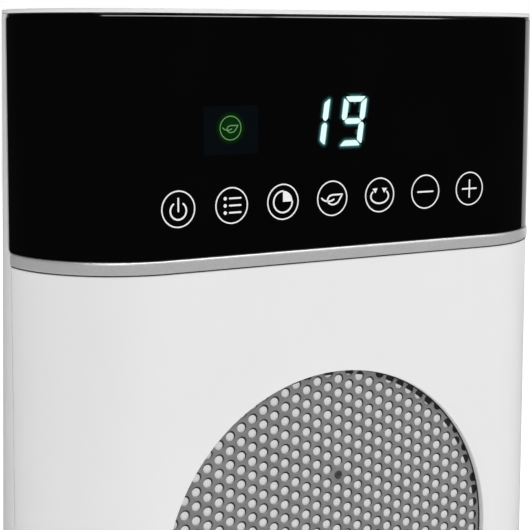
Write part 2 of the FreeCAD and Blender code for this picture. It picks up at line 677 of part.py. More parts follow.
def switch_bezel():
    flange = block(-12.5, 12.5, SWITCH_FACE + 0.05, SWITCH_FACE + 1.6, SWITCH_Z - 9.6, SWITCH_Z + 9.6)
    case = block(-9.6, 9.6, 36, SWITCH_FACE + 1, SWITCH_Z - 6.9, SWITCH_Z + 6.9)
    shape = union([flange, case])
    shape = shape.cut(block(-7.6, 7.6, 47.5, 60, SWITCH_Z - 5.9, SWITCH_Z + 5.9))
    return shape.cut(rod(1.0 + RUN, (-8.9, ROCKER_Y, SWITCH_Z), X_AXIS, 17.8))


def rocker():
    """The on-off rocker, its upper half pressed in: on."""
    depth = 3.4
    outline_yz = [(-3.6, -3.0), (-3.6, 3.0), (depth, 4.8), (depth + 2.0, 4.8), (depth + 1.0, 0.0),
                  (depth + 2.0, -4.8), (depth, -4.8)]
    key = prism([(-7.1, ROCKER_Y + y, SWITCH_Z + z) for y, z in outline_yz], X_AXIS * 14.2)
    key = union([key, rod(1.0, (-8.6, ROCKER_Y, SWITCH_Z), X_AXIS, 17.2)])
    key.rotate(Vector(0, ROCKER_Y, SWITCH_Z), X_AXIS, ROCKER_TILT)
    return key


# ---- floor of the body and its drive -------------------------------------------------------------
def turntable():
    """The body's floor, with the hub that turns on the post and the posts of the motor bracket."""
    floor = body(FLOOR_BOTTOM, FLOOR_TOP, WALL + 0.3)
    hub = rod(POST_R + 5, (0, 0, FLOOR_BOTTOM), Z_AXIS, 26.9 - FLOOR_BOTTOM)
    posts = [rod(3.0, (x, y, FLOOR_BOTTOM), Z_AXIS, BRACKET_BOTTOM - FIT - FLOOR_BOTTOM)
             for x, y in BRACKET_POSTS]
    ribs = [block(POST_R + 3, 60, -1.2, 1.2, FLOOR_TOP - 1, FLOOR_TOP + 3),
            block(-1.2, 1.2, POST_R + 3, 44, FLOOR_TOP - 1, FLOOR_TOP + 3),
            block(-1.2, 1.2, -48, -POST_R - 3, FLOOR_TOP - 1, FLOOR_TOP + 3)]
    plate = union([floor, hub] + posts + ribs)
    holes = [rod(POST_R + RUN, (0, 0, 0), Z_AXIS, 60)]
    holes += [rod(1.7, (x, y, FLOOR_BOTTOM - 1), Z_AXIS, 6)
              for x, y in FRONT_FLOOR_SCREWS + REAR_FLOOR_SCREWS]
    holes += [rod(3.2, (x, y, FLOOR_BOTTOM - 1), Z_AXIS, 2.4)
              for x, y in FRONT_FLOOR_SCREWS + REAR_FLOOR_SCREWS]
    holes += [rod(1.25, (x, y, BRACKET_BOTTOM - 9), Z_AXIS, 12) for x, y in BRACKET_POSTS]
    return cut_all(plate, holes)


def floor_screws():
    """Screws that hold the two shells down on the floor."""
    return group(union([rod(2.8, (x, y, FLOOR_BOTTOM + 0.1), Z_AXIS, 1.2),
                        rod(1.45, (x, y, FLOOR_BOTTOM + 1), Z_AXIS, 13)])
                 for x, y in FRONT_FLOOR_SCREWS + REAR_FLOOR_SCREWS)


def involute(base_r, r):
    """The angle that an involute has unwound by, at a radius."""
    a = math.acos(min(1.0, base_r / r))
    return math.tan(a) - a


def gear(teeth, bore, phase):
    """A spur gear with involute flanks, a tooth centred on the phase angle."""
    pitch_r = GEAR_MODULE * teeth / 2
    base_r = pitch_r * math.cos(math.radians(20))
    tip_r = pitch_r + 0.8 * GEAR_MODULE
    root_r = pitch_r - 1.1 * GEAR_MODULE
    start_r = max(base_r, root_r)
    half_tooth = (math.pi * GEAR_MODULE / 2 - BACKLASH) / (2 * pitch_r)
    at_pitch = involute(base_r, pitch_r)
    flank = [start_r + (tip_r - start_r) * t for t in (0.0, 0.25, 0.5, 0.75, 1.0)]
    half_angles = [half_tooth + at_pitch - involute(base_r, r) for r in flank]

    def point(r, angle):
        return Vector(r * math.cos(angle), r * math.sin(angle), 0)

    edges = []
    step = 2 * math.pi / teeth
    for i in range(teeth):
        middle = phase + i * step
        rising = [point(r, middle - h) for r, h in zip(flank, half_angles)]
        falling = [point(r, middle + h) for r, h in zip(flank, half_angles)][::-1]
        foot_in = point(root_r, middle - half_angles[0])
        foot_out = point(root_r, middle + half_angles[0])
        next_foot = point(root_r, middle + step - half_angles[0])
        chain = [foot_in] + rising
        if start_r <= root_r:
            chain = rising
            foot_out = falling[-1]
            next_foot = point(start_r, middle + step - half_angles[0])
        edges += [Part.makeLine(a, b) for a, b in zip(chain, chain[1:])]
        edges.append(Part.Arc(rising[-1], point(tip_r, middle), falling[0]).toShape())
        chain = falling if start_r <= root_r else falling + [foot_out]
        edges += [Part.makeLine(a, b) for a, b in zip(chain, chain[1:])]
        valley = point(min(root_r, start_r), middle + step / 2)
        edges.append(Part.Arc(chain[-1], valley, next_foot).toShape())
    blank = Part.Face(Part.Wire(edges)).extrude(Vector(0, 0, GEAR_TOP - GEAR_BOTTOM))
    blank = blank.cut(rod(bore, (0, 0, -1), Z_AXIS, 20))
    blank.translate(Vector(0, 0, GEAR_BOTTOM))
    return blank


def sun_gear():
    """Fixed on the post; a gap between two teeth faces the pinion."""
    return gear(SUN_TEETH, POST_R + 0.02, math.pi + math.pi / SUN_TEETH)


def drive_pinion():
    """On the motor's shaft, walking around the fixed gear."""
    pinion = gear(PINION_TEETH, DRIVE_SHAFT_R + 0.02, 0.0)
    pinion.translate(Vector(PINION_X, 0, 0))
    return pinion


def drive_shaft():
    return rod(DRIVE_SHAFT_R, (PINION_X, 0, 26.5), Z_AXIS, 18)


def swing_motor():
    can = rod(21.0, (PINION_X, 0, BRACKET_TOP + FIT), Z_AXIS, 14)
    return can.cut(rod(DRIVE_SHAFT_R + RUN, (PINION_X, 0, 30), Z_AXIS, 15))


def swing_bracket():
    plate = block(-55, -7, -28.5, 28.5, BRACKET_BOTTOM, BRACKET_TOP)
    holes = [rod(3.2, (PINION_X, 0, 30), Z_AXIS, 10)]
    holes += [rod(1.6, (x, y, 30), Z_AXIS, 10) for x, y in BRACKET_POSTS]
    return cut_all(plate, holes)


def bracket_screws():
    return group(union([rod(2.4, (x, y, BRACKET_TOP + 0.05), Z_AXIS, 1.5),
                        rod(1.2, (x, y, BRACKET_TOP - 8), Z_AXIS, 8.2)]) for x, y in BRACKET_POSTS)


def shell_screws():
    """Long screws from the back that draw the two shells together."""
    head_y = SEAM_Y + 7.1
    return group(union([rod(3.2, (x, head_y, z), Y_AXIS, 2.2),
                        rod(1.45, (x, head_y - 24, z), Y_AXIS, 24.5)]) for x, z in SHELL_SCREWS)


def heater_screws():
    y = HEATER_FRONT + 3 + FIT
    return group(union([rod(2.8, (x, y, z), Y_AXIS, 1.8), rod(1.2, (x, y - 7.5, z), Y_AXIS, 8)])
                 for x, z in HEATER_EARS)


# ---- base ---------------------------------------------------------------------------------------
def dome(radius, top, shoulder):
    """A round dish upside down: a short upright side that rounds over into a flat top."""
    side = Vector(radius, 0, 9.0)
    flat = Vector(radius - shoulder, 0, top)
    drop = top - 9.0
    middle = Vector(radius - shoulder + shoulder * math.sqrt(0.5), 0, 9.0 + drop * math.sqrt(0.5))
    low = Vector(0, 0, FOOT_HEIGHT)
    edges = [Part.makeLine(low, Vector(radius, 0, FOOT_HEIGHT)),
             Part.makeLine(Vector(radius, 0, FOOT_HEIGHT), side),
             Part.Arc(side, middle, flat).toShape(),
             Part.makeLine(flat, Vector(0, 0, top)),
             Part.makeLine(Vector(0, 0, top), low)]
    return Part.Face(Part.Wire(edges)).revolve(ORIGIN, Z_AXIS, 360)


def base_cover():
    cover = dome(BASE_R, BASE_TOP, 11.0).cut(dome(BASE_R - 2.4, BASE_TOP - 2.4, 10.0))
    bosses = [rod(4.0, (x, y, PLATE_TOP + FIT), Z_AXIS, BASE_TOP - 1.5 - PLATE_TOP) for x, y in BASE_SCREWS]
    cover = union([cover] + bosses)
    holes = [rod(POST_R + 0.4, ORIGIN, Z_AXIS, 60)]
    holes += [rod(1.55, (x, y, 0), Z_AXIS, 14) for x, y in BASE_SCREWS]
    holes.append(block(-8, 8, BASE_R - 1.6, BASE_R + 5, GLAND_Z - 5, GLAND_Z + 5))
    holes.append(rod(4.7, (0, BASE_R - 8, GLAND_Z), Y_AXIS, 12))
    return cut_all(cover, holes)


def base_plate():
    plate = rod(BASE_R - 2.6, (0, 0, FOOT_HEIGHT), Z_AXIS, PLATE_TOP - FOOT_HEIGHT)
    holes = [rod(1.7, (x, y, 0), Z_AXIS, 10) for x, y in BASE_SCREWS + POST_SCREWS]
    holes += [rod(3.4, (x, y, 0), Z_AXIS, FOOT_HEIGHT + 1.4) for x, y in BASE_SCREWS + POST_SCREWS]
    holes.append(rod(2.9, (0, TIP_Y, 0), Z_AXIS, 10))
    holes.append(rod(POST_BORE - 1, ORIGIN, Z_AXIS, 10))
    return cut_all(plate, holes)


def base_screw(x, y, length):
    head = rod(3.0, (x, y, FOOT_HEIGHT + 0.1), Z_AXIS, 1.3)
    return union([head, rod(1.45, (x, y, FOOT_HEIGHT + 1), Z_AXIS, length)])


def base_screws():
    """From below: four long ones into the cover, and four short ones into the post's flange."""
    return group([base_screw(x, y, 9.5) for x, y in BASE_SCREWS]
                 + [base_screw(x, y, 4.2) for x, y in POST_SCREWS])


def pivot_post():
    flange = rod(25.0, (0, 0, PLATE_TOP), Z_AXIS, 3.0)
    tube = rod(POST_R, (0, 0, PLATE_TOP), Z_AXIS, POST_TOP - PLATE_TOP)
    post = union([flange, tube]).cut(rod(POST_BORE, ORIGIN, Z_AXIS, 60))
    return cut_all(post, [rod(1.55, (x, y, 0), Z_AXIS, 20) for x, y in POST_SCREWS])


def retaining_ring():
    """Clipped on the post above the gear, so that the body can't lift off."""
    return sleeve(19.0, POST_R + 0.02, (0, 0, GEAR_TOP + 0.1), Z_AXIS, 1.2)


def slide_ring():
    """A low-friction ring on the base that the body slides round on."""
    return sleeve(56.0, 48.0, (0, 0, BASE_TOP), Z_AXIS, 2.0)


def rubber_feet():
    feet = []
    for x, y in FEET:
        pad = rod(8.0, (x, y, 0), Z_AXIS, FOOT_HEIGHT)
        rim = [e for e in pad.Edges if len(e.Vertexes) == 1 and e.BoundBox.ZMax < 0.1]
        feet.append(pad.makeChamfer(0.6, rim))
    return group(feet)


def cord_gland():
    plate = block(-7.8, 7.8, BASE_R - 1.5, BASE_R - 0.5, GLAND_Z - 4.7, GLAND_Z + 4.7)
    neck = rod(4.6, (0, BASE_R - 6, GLAND_Z), Y_AXIS, 5)
    return union([plate, neck]).cut(rod(3.4, (0, BASE_R - 10, GLAND_Z), Y_AXIS, 20))


# ---- tip-over switch ----------------------------------------------------------------------------
def tip_plunger():
    """Pressed in by the table; it drops when the heater is lifted or falls over."""
    pin = rod(2.6, (0, TIP_Y, 0), Z_AXIS, TIP_FLANGE + 0.5)
    flange = rod(4.4, (0, TIP_Y, TIP_FLANGE), Z_AXIS, 1.1)
    stem = rod(1.2, (0, TIP_Y, TIP_FLANGE), Z_AXIS, 3.6)
    return union([pin, flange, stem])


def tip_spring():
    """A light coil around the plunger's stem, held under the cage's top."""
    low = TIP_FLANGE + 1.1
    high = CAGE_TOP - 1.4
    turns = 4
    wire_r = 0.25
    coil_r = 2.2
    rings = []
    for i in range(turns):
        z = low + wire_r + (high - low - 2 * wire_r) * i / (turns - 1)
        rings.append(Part.makeTorus(coil_r, wire_r, Vector(0, TIP_Y, z), Z_AXIS))
    struts = [rod(0.2, (coil_r * s, TIP_Y, low + wire_r), Z_AXIS, high - low - 2 * wire_r) for s in (-1, 1)]
    return union(rings + struts)


def tip_cage():
    sides = [block(x, x + 1.4, TIP_Y - 5, TIP_Y + 5, PLATE_TOP, CAGE_TOP) for x in (-7.4, 6.0)]
    top = block(-7.4, 7.4, TIP_Y - 5, TIP_Y + 5, CAGE_TOP - 1.3, CAGE_TOP)
    return union(sides + [top])


def tip_microswitch():
    case = block(9, 22, TIP_Y - 3.2, TIP_Y + 3.2, PLATE_TOP, PLATE_TOP + 9.5)
    button = block(7.9, 9.1, TIP_Y - 1, TIP_Y + 1, PLATE_TOP + 2.8, PLATE_TOP + 4.4)
    return union([case, button])


BODY_PIECES = [
    front_shell, rear_shell, top_cap, control_panel, trim_strip,
    front_grille, grille_ring, inner_screen,
    heater_frame, heating_fins, heating_tubes, ceramic_stones, heater_terminals, heater_screws,
    thermal_cutout, thermal_fuse,
    fan_shroud, fan_motor, motor_bracket, motor_screws, fan_impeller, fan_shaft, impeller_clip,
    control_board, display_module, indicator_light, touch_pads, control_components,
    power_board, power_components, mains_terminals, board_screws, ribbon_cable, room_sensor,
    intake_grille, dust_filter, grip_cup, shell_screws, switch_bezel, rocker,
    turntable, floor_screws, swing_bracket, bracket_screws, swing_motor, drive_shaft, drive_pinion,
]
BASE_PIECES = [
    base_cover, base_plate, base_screws, rubber_feet, cord_gland,
    pivot_post, sun_gear, retaining_ring, slide_ring,
    tip_cage, tip_spring, tip_plunger, tip_microswitch,
]


def main():
    os.makedirs("parts", exist_ok=True)
    for make in BODY_PIECES + BASE_PIECES:
        shape = make()
        shape.exportStep("parts/%s.step" % make.__name__)
        print("%-22s solids %3d  valid %s  volume %.1f" % (make.__name__, len(shape.Solids),
                                                          shape.isValid(), shape.Volume))


if __name__ == "__main__":
    main()
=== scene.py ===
import math

import bmesh
import bpy
import numpy as np
from mathutils import Matrix, Vector
from mathutils.geometry import delaunay_2d_cdt


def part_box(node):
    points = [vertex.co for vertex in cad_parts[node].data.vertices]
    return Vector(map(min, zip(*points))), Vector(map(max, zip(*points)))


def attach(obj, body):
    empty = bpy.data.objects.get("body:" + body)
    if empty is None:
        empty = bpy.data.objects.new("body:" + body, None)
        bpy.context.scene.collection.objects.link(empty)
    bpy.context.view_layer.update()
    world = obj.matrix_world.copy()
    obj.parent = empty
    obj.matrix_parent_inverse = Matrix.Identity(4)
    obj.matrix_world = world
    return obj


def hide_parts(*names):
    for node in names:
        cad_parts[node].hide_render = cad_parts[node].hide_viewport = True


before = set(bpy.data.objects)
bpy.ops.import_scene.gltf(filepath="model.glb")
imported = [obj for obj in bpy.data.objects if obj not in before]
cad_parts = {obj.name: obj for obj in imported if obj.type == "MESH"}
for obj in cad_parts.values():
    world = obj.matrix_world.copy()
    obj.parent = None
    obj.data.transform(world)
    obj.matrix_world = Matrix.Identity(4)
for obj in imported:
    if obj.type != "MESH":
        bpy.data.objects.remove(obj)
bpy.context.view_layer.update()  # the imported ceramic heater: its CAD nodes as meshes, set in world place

MM = 0.001


def low(node):
    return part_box(node)[0]


def high(node):
    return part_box(node)[1]


def middle(node):
    return sum(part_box(node), Vector()) / 2


# ---- sizes, in metres, from the frame
GAP = 0.1 * MM  # between pieces that are fixed to each other
WALL = 2.2 * MM  # thickness of the casing
FRONT_Y = low("front_shell").y
SEAM_GAP = 0.15 * MM  # between the seam's middle and either casing
SEAM_Y = high("front_shell").y + SEAM_GAP
CORNER = SEAM_Y - FRONT_Y  # radius of the upright corners
BODY_LOW = low("rear_shell").z
BODY_TOP = high("top_cap").z
PANEL_LOW = low("control_panel").z
PANEL_FOOT = PANEL_LOW - 0.3 * MM  # the visible edge, where the panel meets the strip
PANEL_TOP = high("control_panel").z
CAP_LOW = PANEL_TOP + GAP
STRIP_LOW = low("trim_strip").z
STRIP_TOP = high("trim_strip").z
STRIP_PROUD = FRONT_Y - low("trim_strip").y
WIDTH_LOW = high("rear_shell").x  # half the body's width at its lower edge
WIDTH_TOP = high("top_cap").x  # and under the cap
DEPTH_LOW = high("rear_shell").y - SEAM_Y
DEPTH_TOP = high("top_cap").y - SEAM_Y
FAR = 0.2  # a place behind the whole heater, where cuts end

OUTLET_Z = middle("front_grille").z
GRILLE_R = (high("front_grille").x - low("front_grille").x) / 2
OUTLET_R = GRILLE_R - 2.7 * MM
ROLL_WIDTH = 8.0 * MM  # the front rolls inwards over this width around the outlet
ROLL_DEPTH = 0.35 * MM
FADE = 4 * MM  # outside the roll, where it blends into the front and its corners
HOLE_PITCH = 4.035 * MM
HOLE_R = 1.47 * MM
HOLE_SHIFT = (-1.15 * MM, 0.5 * MM)  # one hole, from the outlet's centre
BLANK_HOLE = (1, 5)  # column and row, from that hole, of the place left unpunched
PANEL_WRAP = high("control_panel").y - SEAM_Y

KEY_PITCH = 15.7 * MM  # the row of printed keys on the panel
KEY_ROW_X = -2.2 * MM
KEY_ROW_Z = PANEL_LOW + 13.3 * MM
KEY_ROW_RISE = 0.0075  # the printed row climbs by this much per unit of X
KEY_RING_R = 4.72 * MM
KEY_STROKE = 0.36 * MM
SIGN_STROKE = 0.46  # in mm, like the signs' own shapes


# ---- mesh helpers
def mesh_of(name, work):
    """The bmesh as a new mesh; the bmesh is freed."""
    mesh = bpy.data.meshes.new(name)
    work.to_mesh(mesh)
    work.free()
    return mesh


def new_mesh(name, points, faces):
    """Points and faces as a mesh, with double points merged and the normals turned outwards."""
    mesh = bpy.data.meshes.new(name)
    mesh.from_pydata([tuple(p) for p in points], [], [tuple(f) for f in faces])
    work = bmesh.new()
    work.from_mesh(mesh)
    bmesh.ops.remove_doubles(work, verts=work.verts, dist=1e-7)
    bmesh.ops.recalc_face_normals(work, faces=work.faces)
    work.to_mesh(mesh)
    work.free()
    return mesh


def new_object(name, mesh):
    thing = bpy.data.objects.new(name, mesh)
    bpy.context.scene.collection.objects.link(thing)
    return thing


def applied(thing):
    """Makes the modifiers' result the object's own mesh."""
    bpy.context.view_layer.update()
    graph = bpy.context.evaluated_depsgraph_get()
    mesh = bpy.data.meshes.new_from_object(thing.evaluated_get(graph))
    thing.modifiers.clear()
    thing.data = mesh
    return thing


def arc(cx, cz, rx, rz, start, stop, steps=48):
    """Points of an ellipse's arc, in degrees anticlockwise from the right."""
    turns = np.radians(np.linspace(start, stop, steps))
    return [(cx + rx * math.cos(t), cz + rz * math.sin(t)) for t in turns]


def loft(rings, closed=False, capped=True):
    """Points and faces through equal closed rings; a path that isn't closed has its two ends capped."""
    count = len(rings[0])
    points = np.concatenate([np.asarray(r, float) for r in rings])
    faces = []
    for i in range(len(rings) if closed else len(rings) - 1):
        a = i * count
        b = (i + 1) % len(rings) * count
        for j in range(count):
            k = (j + 1) % count
            faces.append((a + j, a + k, b + k, b + j))
    if capped and not closed:
        last = (len(rings) - 1) * count
        faces.append(range(count - 1, -1, -1))
        faces.append(range(last, last + count))
    return points, faces


def lofted(name, rings):
    return new_object(name, new_mesh(name, *loft(rings)))


def lathe(name, profile, segments):
    """A mesh turned about the upright axis; profile is (radius, height) pairs of a closed loop."""
    turns = [2 * math.pi * i / segments for i in range(segments)]
    rings = [[(r * math.cos(t), r * math.sin(t), z) for r, z in profile] for t in turns]
    return new_mesh(name, *loft(rings, closed=True))


def rounded_box(name, lowest, highest, radius, segments=4):
    """A block whose edges are all rounded."""
    work = bmesh.new()
    bmesh.ops.create_cube(work, size=1.0)
    lowest, highest = Vector(lowest), Vector(highest)
    size = Matrix.Diagonal((*(highest - lowest), 1))
    work.transform(Matrix.Translation((lowest + highest) / 2) @ size)
    edges = list(work.edges)
    bmesh.ops.bevel(work, geom=edges, offset=radius, segments=segments, profile=0.5, affect="EDGES")
    return mesh_of(name, work)


def bar_along_y(radius, x, z, y0, y1, segments=48, stretch=0.0):
    """A round or oblong bar for cutting holes, stretch being the straight part's half length."""
    half = 180 / segments
    circle = arc(x, z, radius, radius, half, 360 - half, segments)
    ring = [(a + math.copysign(stretch, a - x), b) for a, b in circle]
    return loft([[(a, y, b) for a, b in ring] for y in (y0, y1)])


def merged(name, parts):
    """One mesh of several (points, faces) pairs."""
    points, faces = [], []
    for some_points, some_faces in parts:
        start = len(points)
        points += [tuple(p) for p in some_points]
        faces += [tuple(start + i for i in f) for f in some_faces]
    return new_mesh(name, points, faces)


def mesh_parts(mesh):
    return [tuple(v.co) for v in mesh.vertices], [tuple(f.vertices) for f in mesh.polygons]


def carve(thing, mesh, operation="DIFFERENCE"):
    tool = new_object("tool", mesh)
    change = thing.modifiers.new("carve", "BOOLEAN")
    change.operation = operation
    change.solver = "EXACT"
    change.object = tool
    applied(thing)
    bpy.data.objects.remove(tool)


def soften(thing, width=0.0, segments=2, angle=35.0):
    """Rounds the sharp edges a little and shades the rest smooth."""
    if width:
        bevel = thing.modifiers.new("bevel", "BEVEL")
        bevel.width = width
        bevel.segments = segments
        bevel.limit_method = "ANGLE"
        bevel.angle_limit = math.radians(angle)
        bevel.use_clamp_overlap = True
        applied(thing)
    mesh = thing.data
    mesh.polygons.foreach_set("use_smooth", [True] * len(mesh.polygons))
    mesh.set_sharp_from_angle(angle=math.radians(angle))
    weight = thing.modifiers.new("normals", "WEIGHTED_NORMAL")
    weight.keep_sharp = True
    return applied(thing)


def put(thing, look, body="housing", node=None):
    """Gives a piece its look and its body, and hides the CAD node that it stands for."""
    thing.data.materials.clear()
    thing.data.materials.append(look.material)
    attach(thing, body)
    if node:
        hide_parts(node)


# ---- the body's outline
def share_at(z):
    return (z - BODY_LOW) / (CAP_LOW - BODY_LOW)


def width_at(z):
    return WIDTH_LOW + (WIDTH_TOP - WIDTH_LOW) * share_at(z)


def depth_at(z):
    return DEPTH_LOW + (DEPTH_TOP - DEPTH_LOW) * share_at(z)


def round_to_seam(z):
    """Distance round the front from its middle to the seam."""
    return width_at(z) - CORNER + CORNER * math.pi / 2


def front_skin(s, z, inset=0.0):
    """Points of the flat front and its corners, s round from the middle."""
    s, z, inset = np.broadcast_arrays(np.asarray(s, float), z, inset)
    flat = width_at(z) - CORNER
    turn = np.clip((np.abs(s) - flat) / CORNER, 0, math.pi / 2)
    reach = CORNER - inset
    x = np.sign(s) * (np.minimum(np.abs(s), flat) + reach * np.sin(turn))
    return np.stack([x, SEAM_Y - reach * np.cos(turn), z], axis=-1)


def rear_skin(turn, z, inset=0.0):
    """Points of the rounded back, turn going from the right seam (0) to the left one (pi)."""
    turn, z, inset = np.broadcast_arrays(np.asarray(turn, float), z, inset)
    x = (width_at(z) - inset) * np.cos(turn)
    y = SEAM_Y + (depth_at(z) - inset) * np.sin(turn)
    return np.stack([x, y, z], axis=-1)


def panel_skin(s, z, inset=0.0):
    """Like front_skin, going on round the back behind the seam."""
    s, z, inset = np.broadcast_arrays(np.asarray(s, float), z, inset)
    past = np.clip(np.abs(s) - round_to_seam(z), 0, None)
    rear = rear_skin(np.arcsin(past / (depth_at(z) - inset)), z, inset)
    rear[..., 0] *= np.sign(s)
    return np.where(past[..., None] > 0, rear, front_skin(s, z, inset))


def around(z, inset, count=120):
    """The whole outline at one height as a closed ring."""
    reach = round_to_seam(z)
    front = front_skin(np.linspace(-reach, reach, count, endpoint=False), z, inset)
    rear = rear_skin(np.linspace(0, math.pi, count, endpoint=False), z, inset)
    return np.concatenate([front, rear])


def wrapped(profile, places, shy):
    """A profile of (height, depth) pairs carried round the front, to a distance short of the seam."""
    return [[front_skin(u * (round_to_seam(z) - shy), z, inset) for z, inset in profile] for u in places]


def ends_dense(count=181, power=0.82):
    """Places from -1 to 1 that lie closer together near both ends."""
    even = np.linspace(-1, 1, count)
    return np.sign(even) * np.abs(even) ** power


def quarter(radius, steps=4):
    """(distance from the edge, depth) along a rounded edge, from the flat to the edge."""
    turns = [math.pi / 2 * i / steps for i in range(steps + 1)]
    return [(radius * (1 - math.sin(t)), radius * (1 - math.cos(t))) for t in turns]


# ---- materials
class Look:
    """A node material under construction, in the piece's own coordinates."""

    def __init__(self, name):
        self.name = name
        self.material = bpy.data.materials.new(name)
        self.material.use_nodes = True
        self.tree = self.material.node_tree
        self.shader = self.tree.nodes["Principled BSDF"]
        self.place = self.tree.nodes.new("ShaderNodeTexCoord").outputs["Object"]

    def fill(self, node, socket, given):
        """Sets a socket to a constant, or links it to another node's output."""
        if isinstance(given, bpy.types.NodeSocket):
            self.tree.links.new(given, node.inputs[socket])
        else:
            node.inputs[socket].default_value = given

    def node(self, kind, output, sockets, **settings):
        node = self.tree.nodes.new("ShaderNode" + kind)
        for name, setting in settings.items():
            setattr(node, name, setting)
        for socket, given in sockets.items():
            self.fill(node, socket, given)
        return node.outputs[output]

    def noise(self, scale, detail=3.0, stretch=(1, 1, 1)):
        place = self.place
        if stretch != (1, 1, 1):
            place = self.node("Mapping", "Vector", {"Vector": place, "Scale": stretch})
        return self.node("TexNoise", "Fac", {"Vector": place, "Scale": scale, "Detail": detail})

    def cells(self, scale):
        return self.node("TexVoronoi", "Distance", {"Vector": self.place, "Scale": scale})

    def weave(self, scale):
        waves = [self.node("TexWave", "Fac", {"Vector": self.place, "Scale": scale}, bands_direction=axis)
                 for axis in "XZ"]
        return self.math("MULTIPLY", *waves)

    def pattern(self, kind, *settings):
        """One of the patterns above by its name."""
        return getattr(self, kind)(*settings)

    def math(self, operation, a, b):
        return self.node("Math", "Value", {0: a, 1: b}, operation=operation)

    def span(self, fac, lowest, highest):
        return self.node("MapRange", "Result", {"Value": fac, "From Min": 0.3, "From Max": 0.7,
                                                "To Min": lowest, "To Max": highest})

    def tones(self, fac, dark, light, start=0.3, stop=0.7):
        output = self.node("ValToRGB", "Color", {"Fac": fac})
        elements = output.node.color_ramp.elements
        for element, position, colour in zip(elements, (start, stop), (dark, light)):
            element.position = position
            element.color = (*colour, 1)
        return output

    def set(self, socket, given):
        self.fill(self.shader, socket, given)

    def colour(self, *tones):
        self.set("Base Color", self.tones(*tones))

    def rough(self, lowest, highest, *noise):
        self.set("Roughness", self.span(self.noise(*noise), lowest, highest))

    def glow(self, strength, *tones):
        self.set("Emission Color", self.tones(*tones))
        self.set("Emission Strength", strength)

    def bump(self, height, distance):
        sockets = {"Strength": 1.0, "Distance": distance, "Height": height}
        self.set("Normal", self.node("Bump", "Normal", sockets))


def shade(colour, factor):
    return tuple(c * factor for c in colour)


def finish(name, base, tones, rough, grain, height, metallic=0.0, specular=0.5):
    """A plain surface; base and grain are patterns of tone and of relief, such as ("noise", 40.0)."""
    look = Look(name)
    look.set("Metallic", metallic)
    look.set("Specular IOR Level", specular)
    look.colour(look.pattern(*base), *tones)
    look.rough(*rough)
    look.bump(look.pattern(*grain), height)
    return look


def moulded(name, colour, roughness, grain=0.012 * MM, grain_scale=2200.0, tone=0.03, specular=0.5):
    """Moulded plastic: a fine grain, faint flow marks and a little unevenness of gloss."""
    tones = (shade(colour, 1 - tone), shade(colour, 1 + tone))
    rough = (roughness - 0.04, roughness + 0.05, 160.0)
    return finish(name, ("noise", 28.0, 4.0), tones, rough, ("noise", grain_scale, 2.0), grain,
                  specular=specular)


def metal(name, colour, roughness, stretch=(1, 1, 1), tone=0.08, metallic=1.0):
    """Bare or plated metal: faint clouding, and a grain that may run one way."""
    tones = (shade(colour, 1 - tone), shade(colour, 1 + tone))
    rough = (roughness - 0.07, roughness + 0.09, 900.0, 4.0, stretch)
    return finish(name, ("noise", 120.0, 5.0, stretch), tones, rough, ("noise", 900.0, 4.0, stretch),
                  0.01 * MM, metallic)


def woven(name, tone, scale):
    """Nylon cloth or foam: crossed threads with dark gaps."""
    weave = ("weave", scale)
    return finish(name, weave, ((0.3 * tone,) * 3, (tone,) * 3, 0.05, 0.5), (0.7, 0.85, 800.0), weave,
                  0.08 * MM)


def wire_cloth_painted_bright():
    """Fine plain-woven wire: two sets of ridges, one over the other, with a faint glow that paints it
    brighter behind the holes.
    """
    weave = ("weave", 620.0)
    tones = ((0.58, 0.58, 0.58), (0.73, 0.73, 0.73), 0.0, 0.6)
    look = finish("fine_mesh", weave, tones, (0.5, 0.65, 700.0, 2.0), weave, 0.05 * MM)
    # painted light: the wire glows faintly, though it is no lamp, so it reads as brightly lit
    look.glow(0.17, look.pattern(*weave), *tones)
    return look


def lit(name, colour, strength, unevenness):
    """A lit sign: an even glow with a slight mottle from the diffuser behind it."""
    look = Look(name)
    look.set("Base Color", (0.02, 0.02, 0.02, 1))
    look.glow(strength, look.noise(700.0), shade(colour, 1 - unevenness), colour)
    look.rough(0.3, 0.4, 700.0)
    return look


def printed(name, colour, strength):
    """Screen-printed ink on the panel, faintly lit from behind."""
    look = Look(name)
    tones = (look.noise(1500.0, 4.0), shade(colour, 0.93), colour)
    look.colour(*tones)
    look.glow(strength, *tones)
    look.rough(0.42, 0.52, 1500.0, 4.0)
    return look


def halo_look(name, colour, falloff):
    """Light that spreads in the panel's back coating around a lit sign, fading outwards."""
    look = Look(name)
    look.set("Base Color", (0.0015, 0.0015, 0.0018, 1))
    near = look.node("Attribute", "Fac", {}, attribute_name="near")
    mottled = look.math("MULTIPLY", near, look.span(look.noise(900.0), 0.9, 1.0))
    look.glow(1.0, look.math("POWER", mottled, falloff), (0.0, 0.0, 0.0), colour, 0.0, 1.0)
    look.rough(0.06, 0.09, 60.0)
    return look


def window_look():
    """A slightly clearer patch of the panel over the indicator."""
    look = Look("window_tint")
    look.set("Base Color", (0.0012, 0.0013, 0.0015, 1))
    look.glow(1.0, look.noise(300.0), (0.0006, 0.0018, 0.0028), (0.0008, 0.0022, 0.0034))
    look.rough(0.06, 0.09, 300.0)
    return look


